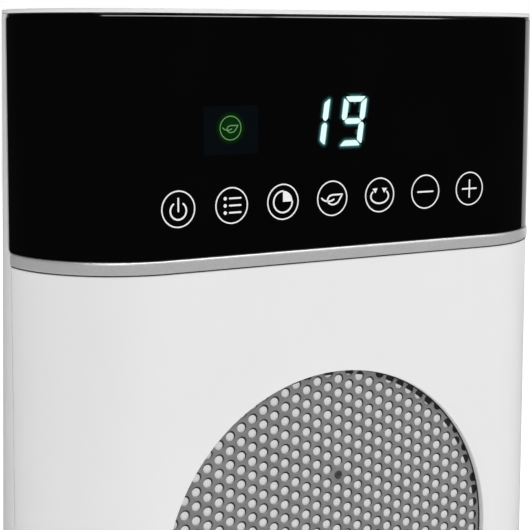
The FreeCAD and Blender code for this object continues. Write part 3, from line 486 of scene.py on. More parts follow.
LOOKS = {look.name: look for look in (
    wire_cloth_painted_bright(),
    finish("gloss_black_panel", ("noise", 40.0), ((0.0012, 0.0012, 0.0014), (0.0018, 0.0018, 0.002)),
           (0.05, 0.09, 35.0, 5.0, (1, 1, 0.5)), ("noise", 90.0, 1.0), 0.002 * MM, specular=0.4),
    finish("satin_silver", ("cells", 5200.0), ((0.70, 0.70, 0.71), (0.88, 0.88, 0.89), 0.1, 0.7),
           (0.30, 0.40, 300.0, 4.0), ("cells", 5200.0), 0.006 * MM, metallic=0.54),
    finish("perforated_steel", ("noise", 260.0, 6.0), ((0.265, 0.265, 0.27), (0.335, 0.335, 0.34)),
           (0.42, 0.58, 1100.0, 4.0), ("noise", 2600.0, 3.0), 0.02 * MM, metallic=0.35),
    finish("circuit_board", ("cells", 260.0), ((0.02, 0.13, 0.05), (0.05, 0.24, 0.10), 0.35, 0.4),
           (0.25, 0.4, 500.0), ("cells", 260.0), 0.03 * MM),
    moulded("white_casing", (0.80, 0.80, 0.80), 0.36, tone=0.008, specular=0.45),
    moulded("rubber", (0.035, 0.035, 0.035), 0.72, 0.03 * MM, 1500.0, 0.2, 0.25),
    moulded("black_plastic", (0.022, 0.022, 0.023), 0.45, 0.03 * MM, 1800.0, 0.15),
    moulded("heat_resistant_plastic", (0.07, 0.06, 0.05), 0.6, 0.04 * MM, 1600.0, 0.2),
    moulded("fan_plastic", (0.12, 0.12, 0.13), 0.5, 0.02 * MM, 1800.0, 0.1),
    moulded("component_plastic", (0.07, 0.09, 0.18), 0.5, tone=0.2),
    moulded("ribbon", (0.66, 0.66, 0.66), 0.5, tone=0.05),
    moulded("grey_nylon", (0.66, 0.66, 0.64), 0.45, tone=0.04),
    moulded("ceramic", (0.55, 0.53, 0.50), 0.8, 0.05 * MM, 3000.0, 0.12),
    metal("bare_aluminium", (0.78, 0.78, 0.80), 0.35, (1, 8, 1)),
    metal("brass", (0.72, 0.56, 0.28), 0.32),
    metal("bright_steel", (0.66, 0.66, 0.68), 0.28),
    metal("zinc_steel", (0.56, 0.57, 0.59), 0.42, tone=0.18),
    woven("touch_foam", 0.2, 900.0),
    woven("filter_mesh", 0.09, 500.0),
)}


def dress_cad_nodes():
    """Each CAD node that stays takes the finish of its slot."""
    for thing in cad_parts.values():
        for holder in thing.material_slots:
            name = holder.material.name.split(".")[0] if holder.material else ""
            if name in LOOKS:
                holder.material = LOOKS[name].material


# ---- front casing
def roll_depth(r):
    """How far the front has rolled inwards at a distance from the outlet's axis."""
    curve = (ROLL_WIDTH ** 2 + ROLL_DEPTH ** 2) / (2 * ROLL_DEPTH)
    run = np.maximum(OUTLET_R + ROLL_WIDTH - r, 0)
    return curve - np.sqrt(curve ** 2 - run ** 2)


def outlet_ring(r, turns):
    """A ring on the front round the outlet; where a corner falls away sooner than the roll, it wins."""
    x = r * np.cos(turns)
    z = OUTLET_Z + r * np.sin(turns)
    flat = width_at(z) - CORNER
    beyond = np.clip(np.abs(x) - flat, 0, None)
    s = np.sign(x) * (np.minimum(np.abs(x), flat) + CORNER * np.arcsin(beyond / CORNER))
    points = front_skin(s, z)
    fallen = points[:, 1] - FRONT_Y
    fade = np.clip((OUTLET_R + ROLL_WIDTH + FADE - r) / FADE, 0, 1)
    blend = np.minimum(0.5 * fallen, 0.3 * MM) * fade
    extra = roll_depth(r) - fallen
    points[:, 1] += 0.5 * (extra + np.sqrt(extra ** 2 + blend ** 2))
    return s, points


def front_casing():
    z0 = BODY_LOW
    z1 = STRIP_LOW - GAP
    across, up = 72, 60
    bottom = np.linspace(-1, 1, across, endpoint=False)
    side = np.linspace(z0, z1, up, endpoint=False)
    edge_u = np.concatenate([bottom, np.ones(up), -bottom, -np.ones(up)])
    edge_z = np.concatenate([np.full(across, z0), side, np.full(across, z1), z0 + z1 - side])

    def edge_ring(away, inset):
        """The casing's border, away from the edge by a distance, set in by a depth."""
        z = np.clip(edge_z, z0 + away, z1 - away)
        reach = round_to_seam(z) - SEAM_GAP
        s = np.clip(edge_u * reach, -(reach - away), reach - away)
        return s, z, front_skin(s, z, inset)

    border = 1.6 * MM
    start_s, start_z, _ = edge_ring(border, 0.0)
    turns = np.arctan2(start_z - OUTLET_Z, start_s)
    lip = 0.35 * MM

    def bore(depth):
        return np.stack([OUTLET_R * np.cos(turns), np.full(len(turns), FRONT_Y + depth),
                         OUTLET_Z + OUTLET_R * np.sin(turns)], axis=-1)

    rings = [bore(WALL), bore(ROLL_DEPTH + lip * 1.6)]
    for away, depth in reversed(quarter(lip)[1:]):
        _, points = outlet_ring(OUTLET_R + away, turns)
        points[:, 1] = np.maximum(points[:, 1], FRONT_Y + ROLL_DEPTH - 0.05 * MM) + depth
        rings.append(points)
    for r in np.concatenate([np.linspace(lip * 1.3, ROLL_WIDTH, 12), [ROLL_WIDTH + 2 * MM]]):
        rings.append(outlet_ring(OUTLET_R + r, turns)[1])
    ring_s, last = outlet_ring(OUTLET_R + ROLL_WIDTH + FADE, turns)
    rings.append(last)

    def between(share, inset):
        """A ring on the way from the outlet's surroundings to the border."""
        s = ring_s * (1 - share) + start_s * share
        z = last[:, 2] * (1 - share) + start_z * share
        return front_skin(s, z, inset)

    steps = 14
    rings += [between(i / steps, 0.0) for i in range(1, steps)]
    rings += [edge_ring(away, 0.0)[2] for away in (border, 0.9 * MM)]
    rings += [edge_ring(away, depth)[2] for away, depth in quarter(0.45 * MM)]
    rings.append(edge_ring(0.0, WALL)[2])
    rings += [between(share, WALL) for share in (0.75, 0.5, 0.25, 0.08)]
    thing = new_object("front_casing", merged("front_casing", [loft(rings, closed=True), neck()]))
    put(soften(thing, angle=40), LOOKS["white_casing"], node="front_shell")


def neck():
    """The upright wall behind the control panel, on the shelf under the silver strip."""
    shelf = STRIP_LOW - GAP
    face = 2.8 * MM
    foot = WALL - 0.2 * MM
    profile = [(shelf - WALL, foot), (shelf - WALL, WALL + face), (PANEL_TOP, WALL + face),
               (PANEL_TOP, face), (shelf, face), (shelf, foot)]
    return loft(wrapped(profile, np.linspace(-1, 1, 121), 0.5 * MM))


# ---- control panel, strip and cap
def control_panel():
    """The wrap-round panel, with round corners and a fine bevel under its top edge."""
    edge = 0.3 * MM
    bevel = 0.18 * MM
    foot = 0.25 * MM
    corner = 2.4 * MM
    rows = 14
    rings = []
    for u in ends_dense():
        reach = round_to_seam(PANEL_LOW) + PANEL_WRAP
        from_end = (1 - abs(u)) * reach
        lift = 0.0
        if from_end < corner:
            lift = corner - math.sqrt(corner ** 2 - (corner - from_end) ** 2)
        shy = max(0.0, foot - from_end)
        bottom = PANEL_FOOT + lift
        top = PANEL_TOP - lift
        bevel_top = top - 0.6 * MM
        profile = [(bottom, WALL)]
        profile += [(bottom + away, depth) for away, depth in reversed(quarter(foot, 3))]
        profile += [(z, 0.0) for z in np.linspace(bottom, bevel_top - 1.3 * bevel, rows)[1:]]
        profile.append((bevel_top, bevel))
        profile += [(top - away, bevel + depth) for away, depth in quarter(edge)]
        profile += [(top, WALL)]
        profile += [(z, WALL) for z in np.linspace(top, bottom, rows)[1:-1]]
        ring = []
        for z, inset in profile:
            s = u * (round_to_seam(z) + PANEL_WRAP)
            ring.append(panel_skin(s, z, max(inset, shy)))
        rings.append(ring)
    thing = lofted("panel_glass", rings)
    put(soften(thing, angle=25), LOOKS["gloss_black_panel"], node="control_panel")


def trim_strip():
    """A rounded silver band that goes round under the panel."""
    z0, z1 = STRIP_LOW, STRIP_TOP - (PANEL_LOW - PANEL_FOOT)
    shoulder = 0.9 * MM
    root, back = 0.2 * MM, 2.6 * MM
    turns = [math.pi / 2 * i / 5 for i in range(6)]
    curve = [(shoulder * (1 - math.cos(t)), root - (STRIP_PROUD + root) * math.sin(t)) for t in turns]
    profile = [(z0 + away, depth) for away, depth in curve]
    profile += [(z, -STRIP_PROUD) for z in np.linspace(z0 + shoulder, z1 - shoulder, 5)[1:-1]]
    profile += [(z1 - away, depth) for away, depth in reversed(curve)]
    profile += [(z1, back), (z0, back)]
    thing = lofted("silver_strip", wrapped(profile, ends_dense(), 0.3 * MM))
    put(soften(thing, angle=50), LOOKS["satin_silver"], node="trim_strip")


def strip_shadow_line():
    """A black band along the real joint under the silver strip: painted shadow in the gap between strip and
    casing.
    """
    z0, z1 = STRIP_LOW - 0.17 * MM, STRIP_LOW + 0.3 * MM
    front, back = -0.06 * MM, 1.0 * MM
    profile = [(z0, back), (z0, front), (z1, front), (z1, back)]
    # painted shadow: black plastic where the joint lies in shade
    thing = lofted("strip_shadow_line", wrapped(profile, ends_dense(), 0.35 * MM))
    put(soften(thing, angle=40), LOOKS["black_plastic"])


def top_cap():
    edge = 0.55 * MM
    foot = 0.15 * MM
    rings = [around(CAP_LOW, inset) for inset in (12 * MM, 4 * MM, 1.0 * MM)]
    rings += [around(CAP_LOW + away, depth) for away, depth in reversed(quarter(foot, 2))]
    rings += [around(BODY_TOP - away, depth) for away, depth in quarter(edge, 6)]
    rings += [around(BODY_TOP, inset) for inset in (1.0 * MM, 2.0 * MM, 5 * MM, 12 * MM, 18 * MM)]
    thing = lofted("cap", rings)
    put(soften(thing, angle=50), LOOKS["white_casing"], node="top_cap")


# ---- marks on the panel
def smooth_line(points, per_span=6):
    """A curve through the points (Catmull-Rom)."""
    given = [np.array(p, float) for p in points]
    given = [2 * given[0] - given[1]] + given + [2 * given[-1] - given[-2]]
    line = []
    for a, b, c, d in zip(given, given[1:], given[2:], given[3:]):
        for k in range(per_span):
            t = k / per_span
            line.append(0.5 * (2 * b + (c - a) * t + (2 * a - 5 * b + 4 * c - d) * t ** 2
                               + (3 * b - a - 3 * c + d) * t ** 3))
    return line + [given[-2]]


def directions(line, closed):
    """The unit vector along a line at each of its points."""
    if closed:
        ahead = np.roll(line, -1, axis=0) - np.roll(line, 1, axis=0)
    else:
        ahead = np.gradient(line, axis=0)
    return ahead / np.linalg.norm(ahead, axis=1)[:, None]


def stroke(line, width, closed=False):
    """Quads of a line of even width with rounded ends, as (points, faces) in the plane."""
    line = np.array(line, float)
    ahead = directions(line, closed)
    side = np.stack([-ahead[:, 1], ahead[:, 0]], axis=1) * width / 2
    points = np.concatenate([line + side, line - side])
    count = len(line)
    faces = []
    for i in range(count if closed else count - 1):
        k = (i + 1) % count
        faces.append((i, k, count + k, count + i))
    if not closed:
        for end, sign in ((0, -1), (count - 1, 1)):
            first = len(points)
            fan = [line[end] + side[end] * math.cos(t) + sign * ahead[end] * width / 2 * math.sin(t)
                   for t in np.linspace(0, math.pi, 7)[1:-1]]
            points = np.concatenate([points, fan])
            rim = [end] + list(range(first, first + len(fan))) + [count + end]
            faces.append(tuple(rim))
    return points, faces


def filled(outline):
    return np.array(outline, float), [tuple(range(len(outline)))]


def disc(cx, cz, radius):
    return filled(arc(cx, cz, radius, radius, 0, 345, 24))


def raised(name, shapes, lift, place):
    """Plane (points, faces) pairs thickened along Y by lift, as a mesh set in place."""
    work = bmesh.new()
    for points, faces in shapes:
        verts = [work.verts.new((x, 0, z)) for x, z in points]
        for face in faces:
            work.faces.new([verts[i] for i in face])
    bmesh.ops.recalc_face_normals(work, faces=work.faces)
    copied = bmesh.ops.extrude_face_region(work, geom=list(work.faces))["geom"]
    moved = [part for part in copied if isinstance(part, bmesh.types.BMVert)]
    bmesh.ops.translate(work, verts=moved, vec=(0, lift, 0))
    work.transform(place)
    bmesh.ops.recalc_face_normals(work, faces=work.faces)
    return mesh_of(name, work)


def mark(name, shapes, centre, look, proud=0.04 * MM):
    """A thin raised mark on the panel's face; shapes are plane (points, faces) pairs in metres."""
    root = 0.02 * MM
    place = Matrix.Translation((centre[0], FRONT_Y + root, centre[1]))
    put(new_object(name, raised(name, shapes, -proud - root, place)), look)


def scaled(shapes, factor):
    return [(np.asarray(points) * factor, faces) for points, faces in shapes]


LEAF_EDGE = [(3.25, 1.0), (1.5, 0.95), (0.1, 0.93), (-1.0, 0.55), (-1.5, -0.4), (-1.0, -1.35),
             (0.3, -1.75), (1.7, -1.25), (2.5, -0.2)]
LEAF_STEM = [(-3.4, 0.15), (-2.75, -0.4), (-1.6, -0.75), (-0.4, -0.7), (0.5, -0.3)]


def leaf(width):
    tip = LEAF_EDGE[0]
    return [stroke(smooth_line(line), width) for line in (LEAF_EDGE + [tip], LEAF_STEM)]


def power_sign(width):
    lines = (arc(0, -0.45, 2.3, 2.3, 128, 412), [(0, -0.55), (0, 1.0), (0, 2.8)])
    return [stroke(line, width) for line in lines]


def list_sign(width):
    rows = (1.9, 0.0, -1.9)
    dots = [disc(-1.95, z, 0.48) for z in rows]
    return dots + [stroke([(-0.6, z), (1.0, z), (2.7, z)], width) for z in rows]


def timer_sign(width):
    wedge = [(0.0, 0.0)] + arc(0, 0, 2.95, 2.95, 0, 90, 20)
    return [stroke(arc(0, 0, 2.9, 2.9, 90, 360, 60), width), filled(wedge)]


def swing_sign(width):
    """Two arrows that meet at the top of an open loop."""
    shapes = [stroke(arc(0, -0.35, 2.95, 2.0, 143, 397, 60), width)]
    for side in (-1, 1):
        head = [(side * 0.75, 1.95), (side * 2.45, 1.85), (side * 1.45, 0.55)]
        shapes.append(filled(head if side > 0 else head[::-1]))
    return shapes


def minus_sign(width):
    return [stroke([(-2.6, 0), (0, 0), (2.6, 0)], width)]


def plus_sign(width):
    half = width / 2
    arm = 2.65
    return [filled([(-arm, -half), (-half, -half), (-half, -arm), (half, -arm), (half, -half), (arm, -half),
                    (arm, half), (half, half), (half, arm), (-half, arm), (-half, half), (-arm, half)])]


def key_marks():
    ink = printed("key_ink", (0.72, 0.72, 0.73), 0.22)
    signs = [("power", power_sign), ("list", list_sign), ("timer", timer_sign), ("leaf", leaf),
             ("swing", swing_sign), ("minus", minus_sign), ("plus", plus_sign)]
    for i, (name, sign) in enumerate(signs):
        x = KEY_ROW_X + KEY_PITCH * (i - 3)
        centre = (x, KEY_ROW_Z + KEY_ROW_RISE * x)
        ring = stroke(arc(0, 0, KEY_RING_R, KEY_RING_R, 0, 357, 120), KEY_STROKE, closed=True)
        mark(f"key_{name}_ring", [ring], centre, ink)
        mark(f"key_{name}_sign", scaled(sign(SIGN_STROKE), MM), centre, ink)


DIGIT_WIDTH = 7.5 * MM
DIGIT_HEIGHT = 13.5 * MM
DIGIT_PITCH = 11.95 * MM
DIGIT_LEFT = -0.45 * MM  # left edge of the second figure at its foot
DIGIT_FOOT = PANEL_LOW + 27.55 * MM
DIGIT_SLANT = 0.136
UPRIGHT_BAR = 1.7 * MM
LEVEL_BAR = 1.5 * MM
LIT_SEGMENTS = {"1": "bc", "9": "abcdfg"}


def segment_shape(key):
    """One bar of a seven-segment figure with mitred ends, in the figure's own upright frame."""
    w, h = DIGIT_WIDTH, DIGIT_HEIGHT
    s, t = UPRIGHT_BAR, LEVEL_BAR
    gap = 0.12 * MM
    cut = 0.3 * MM
    if key == "g":
        return [(s / 2 + gap, h / 2), (s, h / 2 + t / 2), (w - s, h / 2 + t / 2),
                (w - s / 2 - gap, h / 2), (w - s, h / 2 - t / 2), (s, h / 2 - t / 2)]
    if key in "ad":
        bar = [(cut + gap, h), (w - cut - gap, h), (w - s - gap, h - t), (s + gap, h - t)]
        return bar if key == "a" else [(x, h - z) for x, z in bar]
    waist = h / 2 + t / 2
    bar = [(0, h - cut - gap), (s, h - t - gap), (s, waist + gap), (s / 2, h / 2 + gap), (0, waist)]
    if key in "bc":
        bar = [(w - x, z) for x, z in bar]
    if key in "ce":
        bar = [(x, h - z) for x, z in bar]
    return bar


def rounded(outline, radius, steps=4):
    """The outline with its corners cut round."""
    points = [np.array(p) for p in outline]
    result = []
    for corner, before, after in zip(points, points[-1:] + points, points[1:] + points[:1]):
        a, b = (corner + (end - corner) * min(radius / np.linalg.norm(end - corner), 0.5)
                for end in (before, after))
        for k in range(steps + 1):
            t = k / steps
            result.append((1 - t) ** 2 * a + 2 * t * (1 - t) * corner + t ** 2 * b)
    return result


def slanted(outline):
    return [(x + DIGIT_SLANT * z, z) for x, z in outline]


def grown(outline, by):
    """The outline moved outwards by a distance."""
    points = np.array(outline)
    ahead = directions(points, closed=True)
    out = np.stack([ahead[:, 1], -ahead[:, 0]], axis=1)
    if np.sum((points - points.mean(axis=0)) * out) < 0:
        out = -out
    return points + out * by


def display_figures():
    glow = lit("digit_light", (0.78, 1.0, 0.97), 1.02, 0.04)
    halo = halo_look("digit_halo", (0.16, 0.62, 0.60), 4.5)
    for place, figure in enumerate("19"):
        centre = (DIGIT_LEFT - DIGIT_PITCH * (1 - place), DIGIT_FOOT)
        outlines = [rounded(slanted(segment_shape(key)), 0.6 * MM) for key in LIT_SEGMENTS[figure]]
        mark(f"figure_{figure}", [filled(o) for o in outlines], centre, glow, proud=0.05 * MM)
        halo_piece(f"figure_{figure}_halo", outlines, centre, halo, -0.2 * MM, 1.6 * MM)


def halo_piece(name, outlines, centre, look, start, stop):
    """Flat bands round each outline, whose 'near' value falls from 1 to 0 between two distances."""
    points, faces, near = [], [], []
    shares = np.linspace(0, 1, 7)
    for level, outline in enumerate(outlines):
        y = FRONT_Y - (0.010 + 0.002 * level) * MM
        rings = []
        for share in shares:
            ring = grown(outline, start + (stop - start) * share)
            rings.append([(centre[0] + x, y, centre[1] + z) for x, z in ring])
            near += [1 - share] * len(ring)
        band, quads = loft(rings, capped=False)
        faces += [tuple(len(points) + i for i in quad) for quad in quads]
        points += [tuple(p) for p in band]
    mesh = bpy.data.meshes.new(name)
    mesh.from_pydata(points, [], faces)
    layer = mesh.attributes.new("near", "FLOAT", "POINT")
    layer.data.foreach_set("value", near)
    put(new_object(name, mesh), look)


def indicator():
    """A dim square window with a green leaf in a ring, which lights the window round it."""
    x, z = -33.92 * MM, PANEL_LOW + 33.46 * MM
    half_w, half_h = 8.1 * MM, 6.4 * MM
    square = rounded([(-half_w, -half_h), (half_w, -half_h), (half_w, half_h), (-half_w, half_h)], 0.4 * MM)
    centre = (x + 0.2 * MM, z - 0.55 * MM)
    mark("indicator_window", [filled(square)], centre, window_look(), proud=0.005 * MM)
    ring_r = 3.1 * MM
    halo = halo_look("leaf_halo", (0.001, 0.030, 0.001), 0.4)
    circle = arc(0, 0, ring_r, ring_r, 0, 355, 72)
    halo_piece("indicator_halo", [circle], (x, z), halo, -0.9 * ring_r, 1.2 * MM)
    green = lit("leaf_light", (0.12, 0.30, 0.115), 1.0, 0.15)
    mark("indicator_ring", [stroke(circle, 0.24 * MM, closed=True)], (x, z), green)
    mark("indicator_leaf", scaled(leaf(0.4), 0.68 * MM), (x, z), green)


# ---- outlet
def cells():
    """Centre of each cell of the punched pattern, and whether it has a hole."""
    column = HOLE_PITCH * math.sqrt(3) / 2
    limit = GRILLE_R - 2.4 * MM
    reach = int(limit / column) + 2
    for i in range(-reach, reach + 1):
        half_step = HOLE_PITCH / 2 if i % 2 else 0.0
        for j in range(-reach, reach + 1):
            x = HOLE_SHIFT[0] + i * column
            z = HOLE_SHIFT[1] + j * HOLE_PITCH + half_step
            if math.hypot(x, z) <= limit:
                yield x, OUTLET_Z + z, (i, j) != BLANK_HOLE


def hexagon(per_side=4):
    """Points of one cell's border, with an upright neighbour above and below."""
    size = HOLE_PITCH / math.sqrt(3)
    corners = np.array(arc(0, 0, size, size, 0, 360, 7))
    shares = np.arange(per_side)[:, None] / per_side
    return np.concatenate([a * (1 - shares) + b * shares for a, b in zip(corners, corners[1:])])


def punched(name, profile, hole_shift, look, node=None):
    """A flat round sheet punched all over; profile is (radius, y) pairs down one hole's wall."""
    border = hexagon()
    unit = border / np.linalg.norm(border, axis=1)[:, None]
    front, back = profile[0][1], profile[-1][1]
    rings = [(border, front)]
    rings += [(unit * radius + np.array(hole_shift), y) for radius, y in profile]
    rings.append((border, back))
    count = len(border)
    cell_points, cell_faces = loft([np.insert(xz, 1, y, axis=1) for xz, y in rings], capped=False)
    blank_points = np.concatenate([cell_points[:count], cell_points[-count:]])
    blank_faces = [range(count), range(count, 2 * count)]
    parts = []
    for x, z, has_hole in cells():
        points, faces = (cell_points, cell_faces) if has_hole else (blank_points, blank_faces)
        parts.append((points + np.array([x, 0.0, z]), faces))
    mesh = merged(name, parts)
    work = bmesh.new()
    work.from_mesh(mesh)
    bmesh.ops.remove_doubles(work, verts=work.verts, dist=0.002 * MM)
    inner = [(v.co.x, v.co.z) for v in border_loop(work, front)]
    rim_count = 240
    rim = arc(0, OUTLET_Z, GRILLE_R, GRILLE_R, 0, 360 - 360 / rim_count, rim_count)
    plane = [Vector(p) for p in inner + rim]
    n = len(inner)
    edges = [(i, (i + 1) % n) for i in range(n)]
    edges += [(n + i, n + (i + 1) % rim_count) for i in range(rim_count)]
    found, _, triangles, *_ = delaunay_2d_cdt(plane, edges, [], 1, 1e-9)
    inside = point_tester(inner)
    for y in (front, back):
        verts = [work.verts.new((p.x, y, p.y)) for p in found]
        for triangle in triangles:
            centre = sum((found[i] for i in triangle), Vector((0, 0))) / 3
            if not inside(centre.x, centre.y):
                work.faces.new([verts[i] for i in triangle])
    bmesh.ops.remove_doubles(work, verts=work.verts, dist=0.002 * MM)
    open_edges = [e for e in work.edges if len(e.link_faces) == 1]
    bmesh.ops.bridge_loops(work, edges=open_edges)
    loose = [v for v in work.verts if not v.link_faces]
    bmesh.ops.delete(work, geom=loose, context="VERTS")
    bmesh.ops.recalc_face_normals(work, faces=work.faces)
    work.to_mesh(mesh)
    work.free()
    put(soften(new_object(name, mesh), angle=50), look, node=node)


def perforated_sheet():
    """The sheet in the outlet: each hole has a rolled-in edge in front and a sharper one behind."""
    front, back = low("front_grille").y, high("front_grille").y
    profile = [(HOLE_R + away, front + depth) for away, depth in quarter(0.2 * MM, 3)]
    profile += [(HOLE_R, back - 0.1 * MM), (HOLE_R + 0.07 * MM, back)]
    punched("perforated_sheet", profile, (0, 0), LOOKS["perforated_steel"], "front_grille")


def hole_shadow_mask():
    """A near-black sheet on the fine mesh that paints the shade in the holes: its smaller holes sit a
    little low behind those of the sheet, so a crescent of painted shadow shows at each hole's top.
    """
    front = high("front_grille").y + 0.02 * MM
    radius = 1.29 * MM
    shift = (-0.04 * MM, -0.34 * MM)
    # painted shadow: this near-black sheet stands in for the shade inside each hole
    shadow_foil = moulded("painted_hole_shadow", (0.035, 0.035, 0.035), 0.6, tone=0.2)
    punched("hole_shadow_mask", [(radius, front), (radius, front + 0.05 * MM)], shift, shadow_foil)


def turned(name, profile, segments, place):
    """A piece turned about an axis that runs forwards from a place; profile is (radius, height) in mm."""
    mesh = lathe(name, [(r * MM, h * MM) for r, h in profile], segments)
    mesh.transform(Matrix.Translation(place) @ Matrix.Rotation(math.pi / 2, 4, "X"))
    return soften(new_object(name, mesh), angle=40)


def shadow_ring(name, inner, outer, thickness, shift, y):
    """A flat black ring round the outlet's axis, moved sideways, that paints shadow; all in mm but y."""
    profile = [(inner, 0.0), (outer, 0.0), (outer, thickness), (inner, thickness)]
    place = (shift[0] * MM, y, OUTLET_Z + shift[1] * MM)
    put(turned(name, profile, 180, place), LOOKS["black_plastic"])


def outlet_shadow_rings():
    """Black rings of painted shadow: one behind the rim's holes, off centre so it is widest at the upper
    right, as the rim's shadow; and a thin one in front of the sheet's rim, as the shade in the gap at the
    casing's lip.
    """
    front, back = low("front_grille").y, high("front_grille").y
    # painted shadow: the rim's shadow on the holes near its upper right
    shadow_ring("rim_painted_shadow", 52.7, GRILLE_R / MM - 1.0, 0.012, (-0.55, -0.45), back + 0.017 * MM)
    edge = OUTLET_R / MM
    # painted shadow: the shade in the gap between the sheet and the casing's lip
    shadow_ring("rim_shadow_line", edge - 0.16, edge + 0.3, 0.04, (-0.14, -0.16), front - 0.01 * MM)


def sheet_rivet():
    """A dark rivet head where the pattern has no hole."""
    x, z = next((x, z) for x, z, has_hole in cells() if not has_hole)
    profile = [(0.0, -0.1), (1.25, -0.1), (1.25, 0.08), (1.15, 0.2), (0.9, 0.26), (0.55, 0.24),
               (0.42, 0.05), (0.0, 0.02)]
    thing = turned("sheet_rivet", profile, 40, (x, low("front_grille").y, z))
    put(thing, metal("dark_rivet", (0.10, 0.10, 0.105), 0.45, metallic=0.5))


def border_loop(work, y):
    """The sheet's open border on one face, in order."""
    edges = [e for e in work.edges if len(e.link_faces) == 1
             and all(abs(v.co.y - y) < 1e-6 for v in e.verts)]
    links = {}
    for e in edges:
        a, b = e.verts
        links.setdefault(a, []).append(b)
        links.setdefault(b, []).append(a)
    start = edges[0].verts[0]
    loop = [start, links[start][0]]
    while True:
        ahead = next(v for v in links[loop[-1]] if v is not loop[-2])
        if ahead is start:
            return loop
        loop.append(ahead)


def point_tester(polygon):
    """Whether a point lies inside a polygon."""
    px, pz = np.array(polygon).T
    qx, qz = np.roll(px, -1), np.roll(pz, -1)

    def inside(x, z):
        crosses = (pz > z) != (qz > z)
        at = px[crosses] + (z - pz[crosses]) / (qz[crosses] - pz[crosses]) * (qx[crosses] - px[crosses])
        return np.count_nonzero(at > x) % 2 == 1

    return inside


# ---- back
def rear_sections(z0, z1, turns, rows):
    """Upright sections through the back's wall."""
    heights = np.linspace(z0, z1, rows)
    back_down = np.linspace(z1, z0, rows)
    return [[rear_skin(t, z) for z in heights] + [rear_skin(t, z, WALL) for z in back_down] for t in turns]


def rear_casing():
    start = math.asin(SEAM_GAP / DEPTH_TOP)
    turns = np.linspace(start, math.pi - start, 181)
    thing = lofted("rear_casing", rear_sections(BODY_LOW, PANEL_TOP, turns, 25))
    bezel_low, bezel_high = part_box("switch_bezel")
    face = bezel_high.y - 1.6 * MM
    pod = rounded_box("pod", (bezel_low.x - 2.5 * MM, face - 9 * MM, bezel_low.z - 2.6 * MM),
                      (bezel_high.x + 2.5 * MM, face, bezel_high.z + 2.6 * MM), 1.6 * MM)
    carve(thing, pod, "UNION")
    cuts = []

    def opening(node, near, gap_x, gap_z, radius, segments):
        """A hole from near to behind the back, as large as a node's box and a gap round it."""
        a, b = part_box(node)
        cuts.append(mesh_parts(rounded_box("cut", (a.x - gap_x, near, a.z - gap_z),
                                           (b.x + gap_x, FAR, b.z + gap_z), radius, segments)))

    for node in ("intake_grille", "grip_cup"):
        opening(node, SEAM_Y + 8 * MM, 0.25 * MM, 0.25 * MM, 0.02 * MM, 1)
    opening("switch_bezel", 0.03, -2.6 * MM, -2.4 * MM, 0.3 * MM, 2)
    screw_low, screw_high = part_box("shell_screws")
    head = 3.2 * MM
    for x in (screw_low.x + head, screw_high.x - head):
        for z in (screw_low.z + head, screw_high.z - head):
            cuts.append(bar_along_y(3.7 * MM, x, z, SEAM_Y + 7 * MM, FAR))
    sensor = middle("room_sensor")
    cuts.append(bar_along_y(2.7 * MM, sensor.x, sensor.z, 0.0, FAR, 36))
    cuts += [panel_end_cut(side) for side in (-1, 1)]
    carve(thing, merged("cuts", cuts))
    put(soften(thing, 0.3 * MM, 2, 40), LOOKS["white_casing"], node="rear_shell")


def panel_end_cut(side):
    """The room that one end of the control panel takes out of the rear casing, with a gap round it."""
    gap = 0.3 * MM
    radius = 2.7 * MM
    ahead = SEAM_Y - 5 * MM
    end = SEAM_Y + PANEL_WRAP + gap
    foot = PANEL_FOOT - gap
    head = PANEL_TOP + gap
    outline = [(ahead, foot)] + arc(end - radius, foot + radius, radius, radius, -90, 0, 12)
    outline += arc(end - radius, head - radius, radius, radius, 0, 90, 12) + [(ahead, head)]
    reach = (WIDTH_TOP - 6 * MM, WIDTH_LOW + 6 * MM)
    return loft([[(side * x, y, z) for y, z in outline] for x in reach])


def intake_louvre():
    """The inlet panel in the back, with rows of rounded slots."""
    a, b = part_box("intake_grille")
    z0, z1 = a.z, b.z
    wide = math.asin(min(1.0, b.x / width_at(z1)))
    turns = np.linspace(math.pi / 2 - wide - 0.02, math.pi / 2 + wide + 0.02, 81)
    thing = lofted("intake_louvre", rear_sections(z0, z1, turns, 21))
    columns, rows = 4, 11
    slot_r = 2.0 * MM
    width = (b.x - a.x - 7.5 * MM) / columns
    pitch = (z1 - z0 - 5.5 * MM) / rows
    cuts = []
    half = width / 2 - 1.6 * MM - slot_r
    for i in range(columns):
        for j in range(rows):
            x = a.x + 3.75 * MM + (i + 0.5) * width
            z = z0 + 2.75 * MM + (j + 0.5) * pitch
            cuts.append(bar_along_y(slot_r, x, z, SEAM_Y + 8 * MM, FAR, 24, half))
    low_end, high_end = z0 - 10 * MM, z1 + 10 * MM
    for x0, x1 in ((-b.x - 50 * MM, -b.x), (b.x, b.x + 50 * MM)):
        corners = [(x0, low_end), (x1, low_end), (x1, high_end), (x0, high_end)]
        cuts.append(loft([[(x, y, z) for x, z in corners] for y in (-20 * MM, FAR)]))
    carve(thing, merged("slots", cuts))
    put(soften(thing, 0.35 * MM, 2, 40), LOOKS["white_casing"], node="intake_grille")


def grip_recess():
    """The finger recess: a rounded cup let into the back."""
    a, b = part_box("grip_cup")
    rings = []
    for x in np.linspace(a.x, b.x, 61):
        ring = [rear_skin(math.acos(x / width_at(z)), z) for z in np.linspace(a.z, b.z, 9)]
        rings.append(ring + [(x, a.y, z) for z in np.linspace(b.z, a.z, 9)])
    thing = lofted("grip_recess", rings)
    rim = 2.2 * MM
    hollow = rounded_box("hollow", (a.x + rim, a.y + 2 * MM, a.z + rim),
                         (b.x - rim, 0.1, b.z - rim), 4.5 * MM, 6)
    carve(thing, hollow)
    put(soften(thing, 0.35 * MM, 3, 40), LOOKS["white_casing"], node="grip_cup")


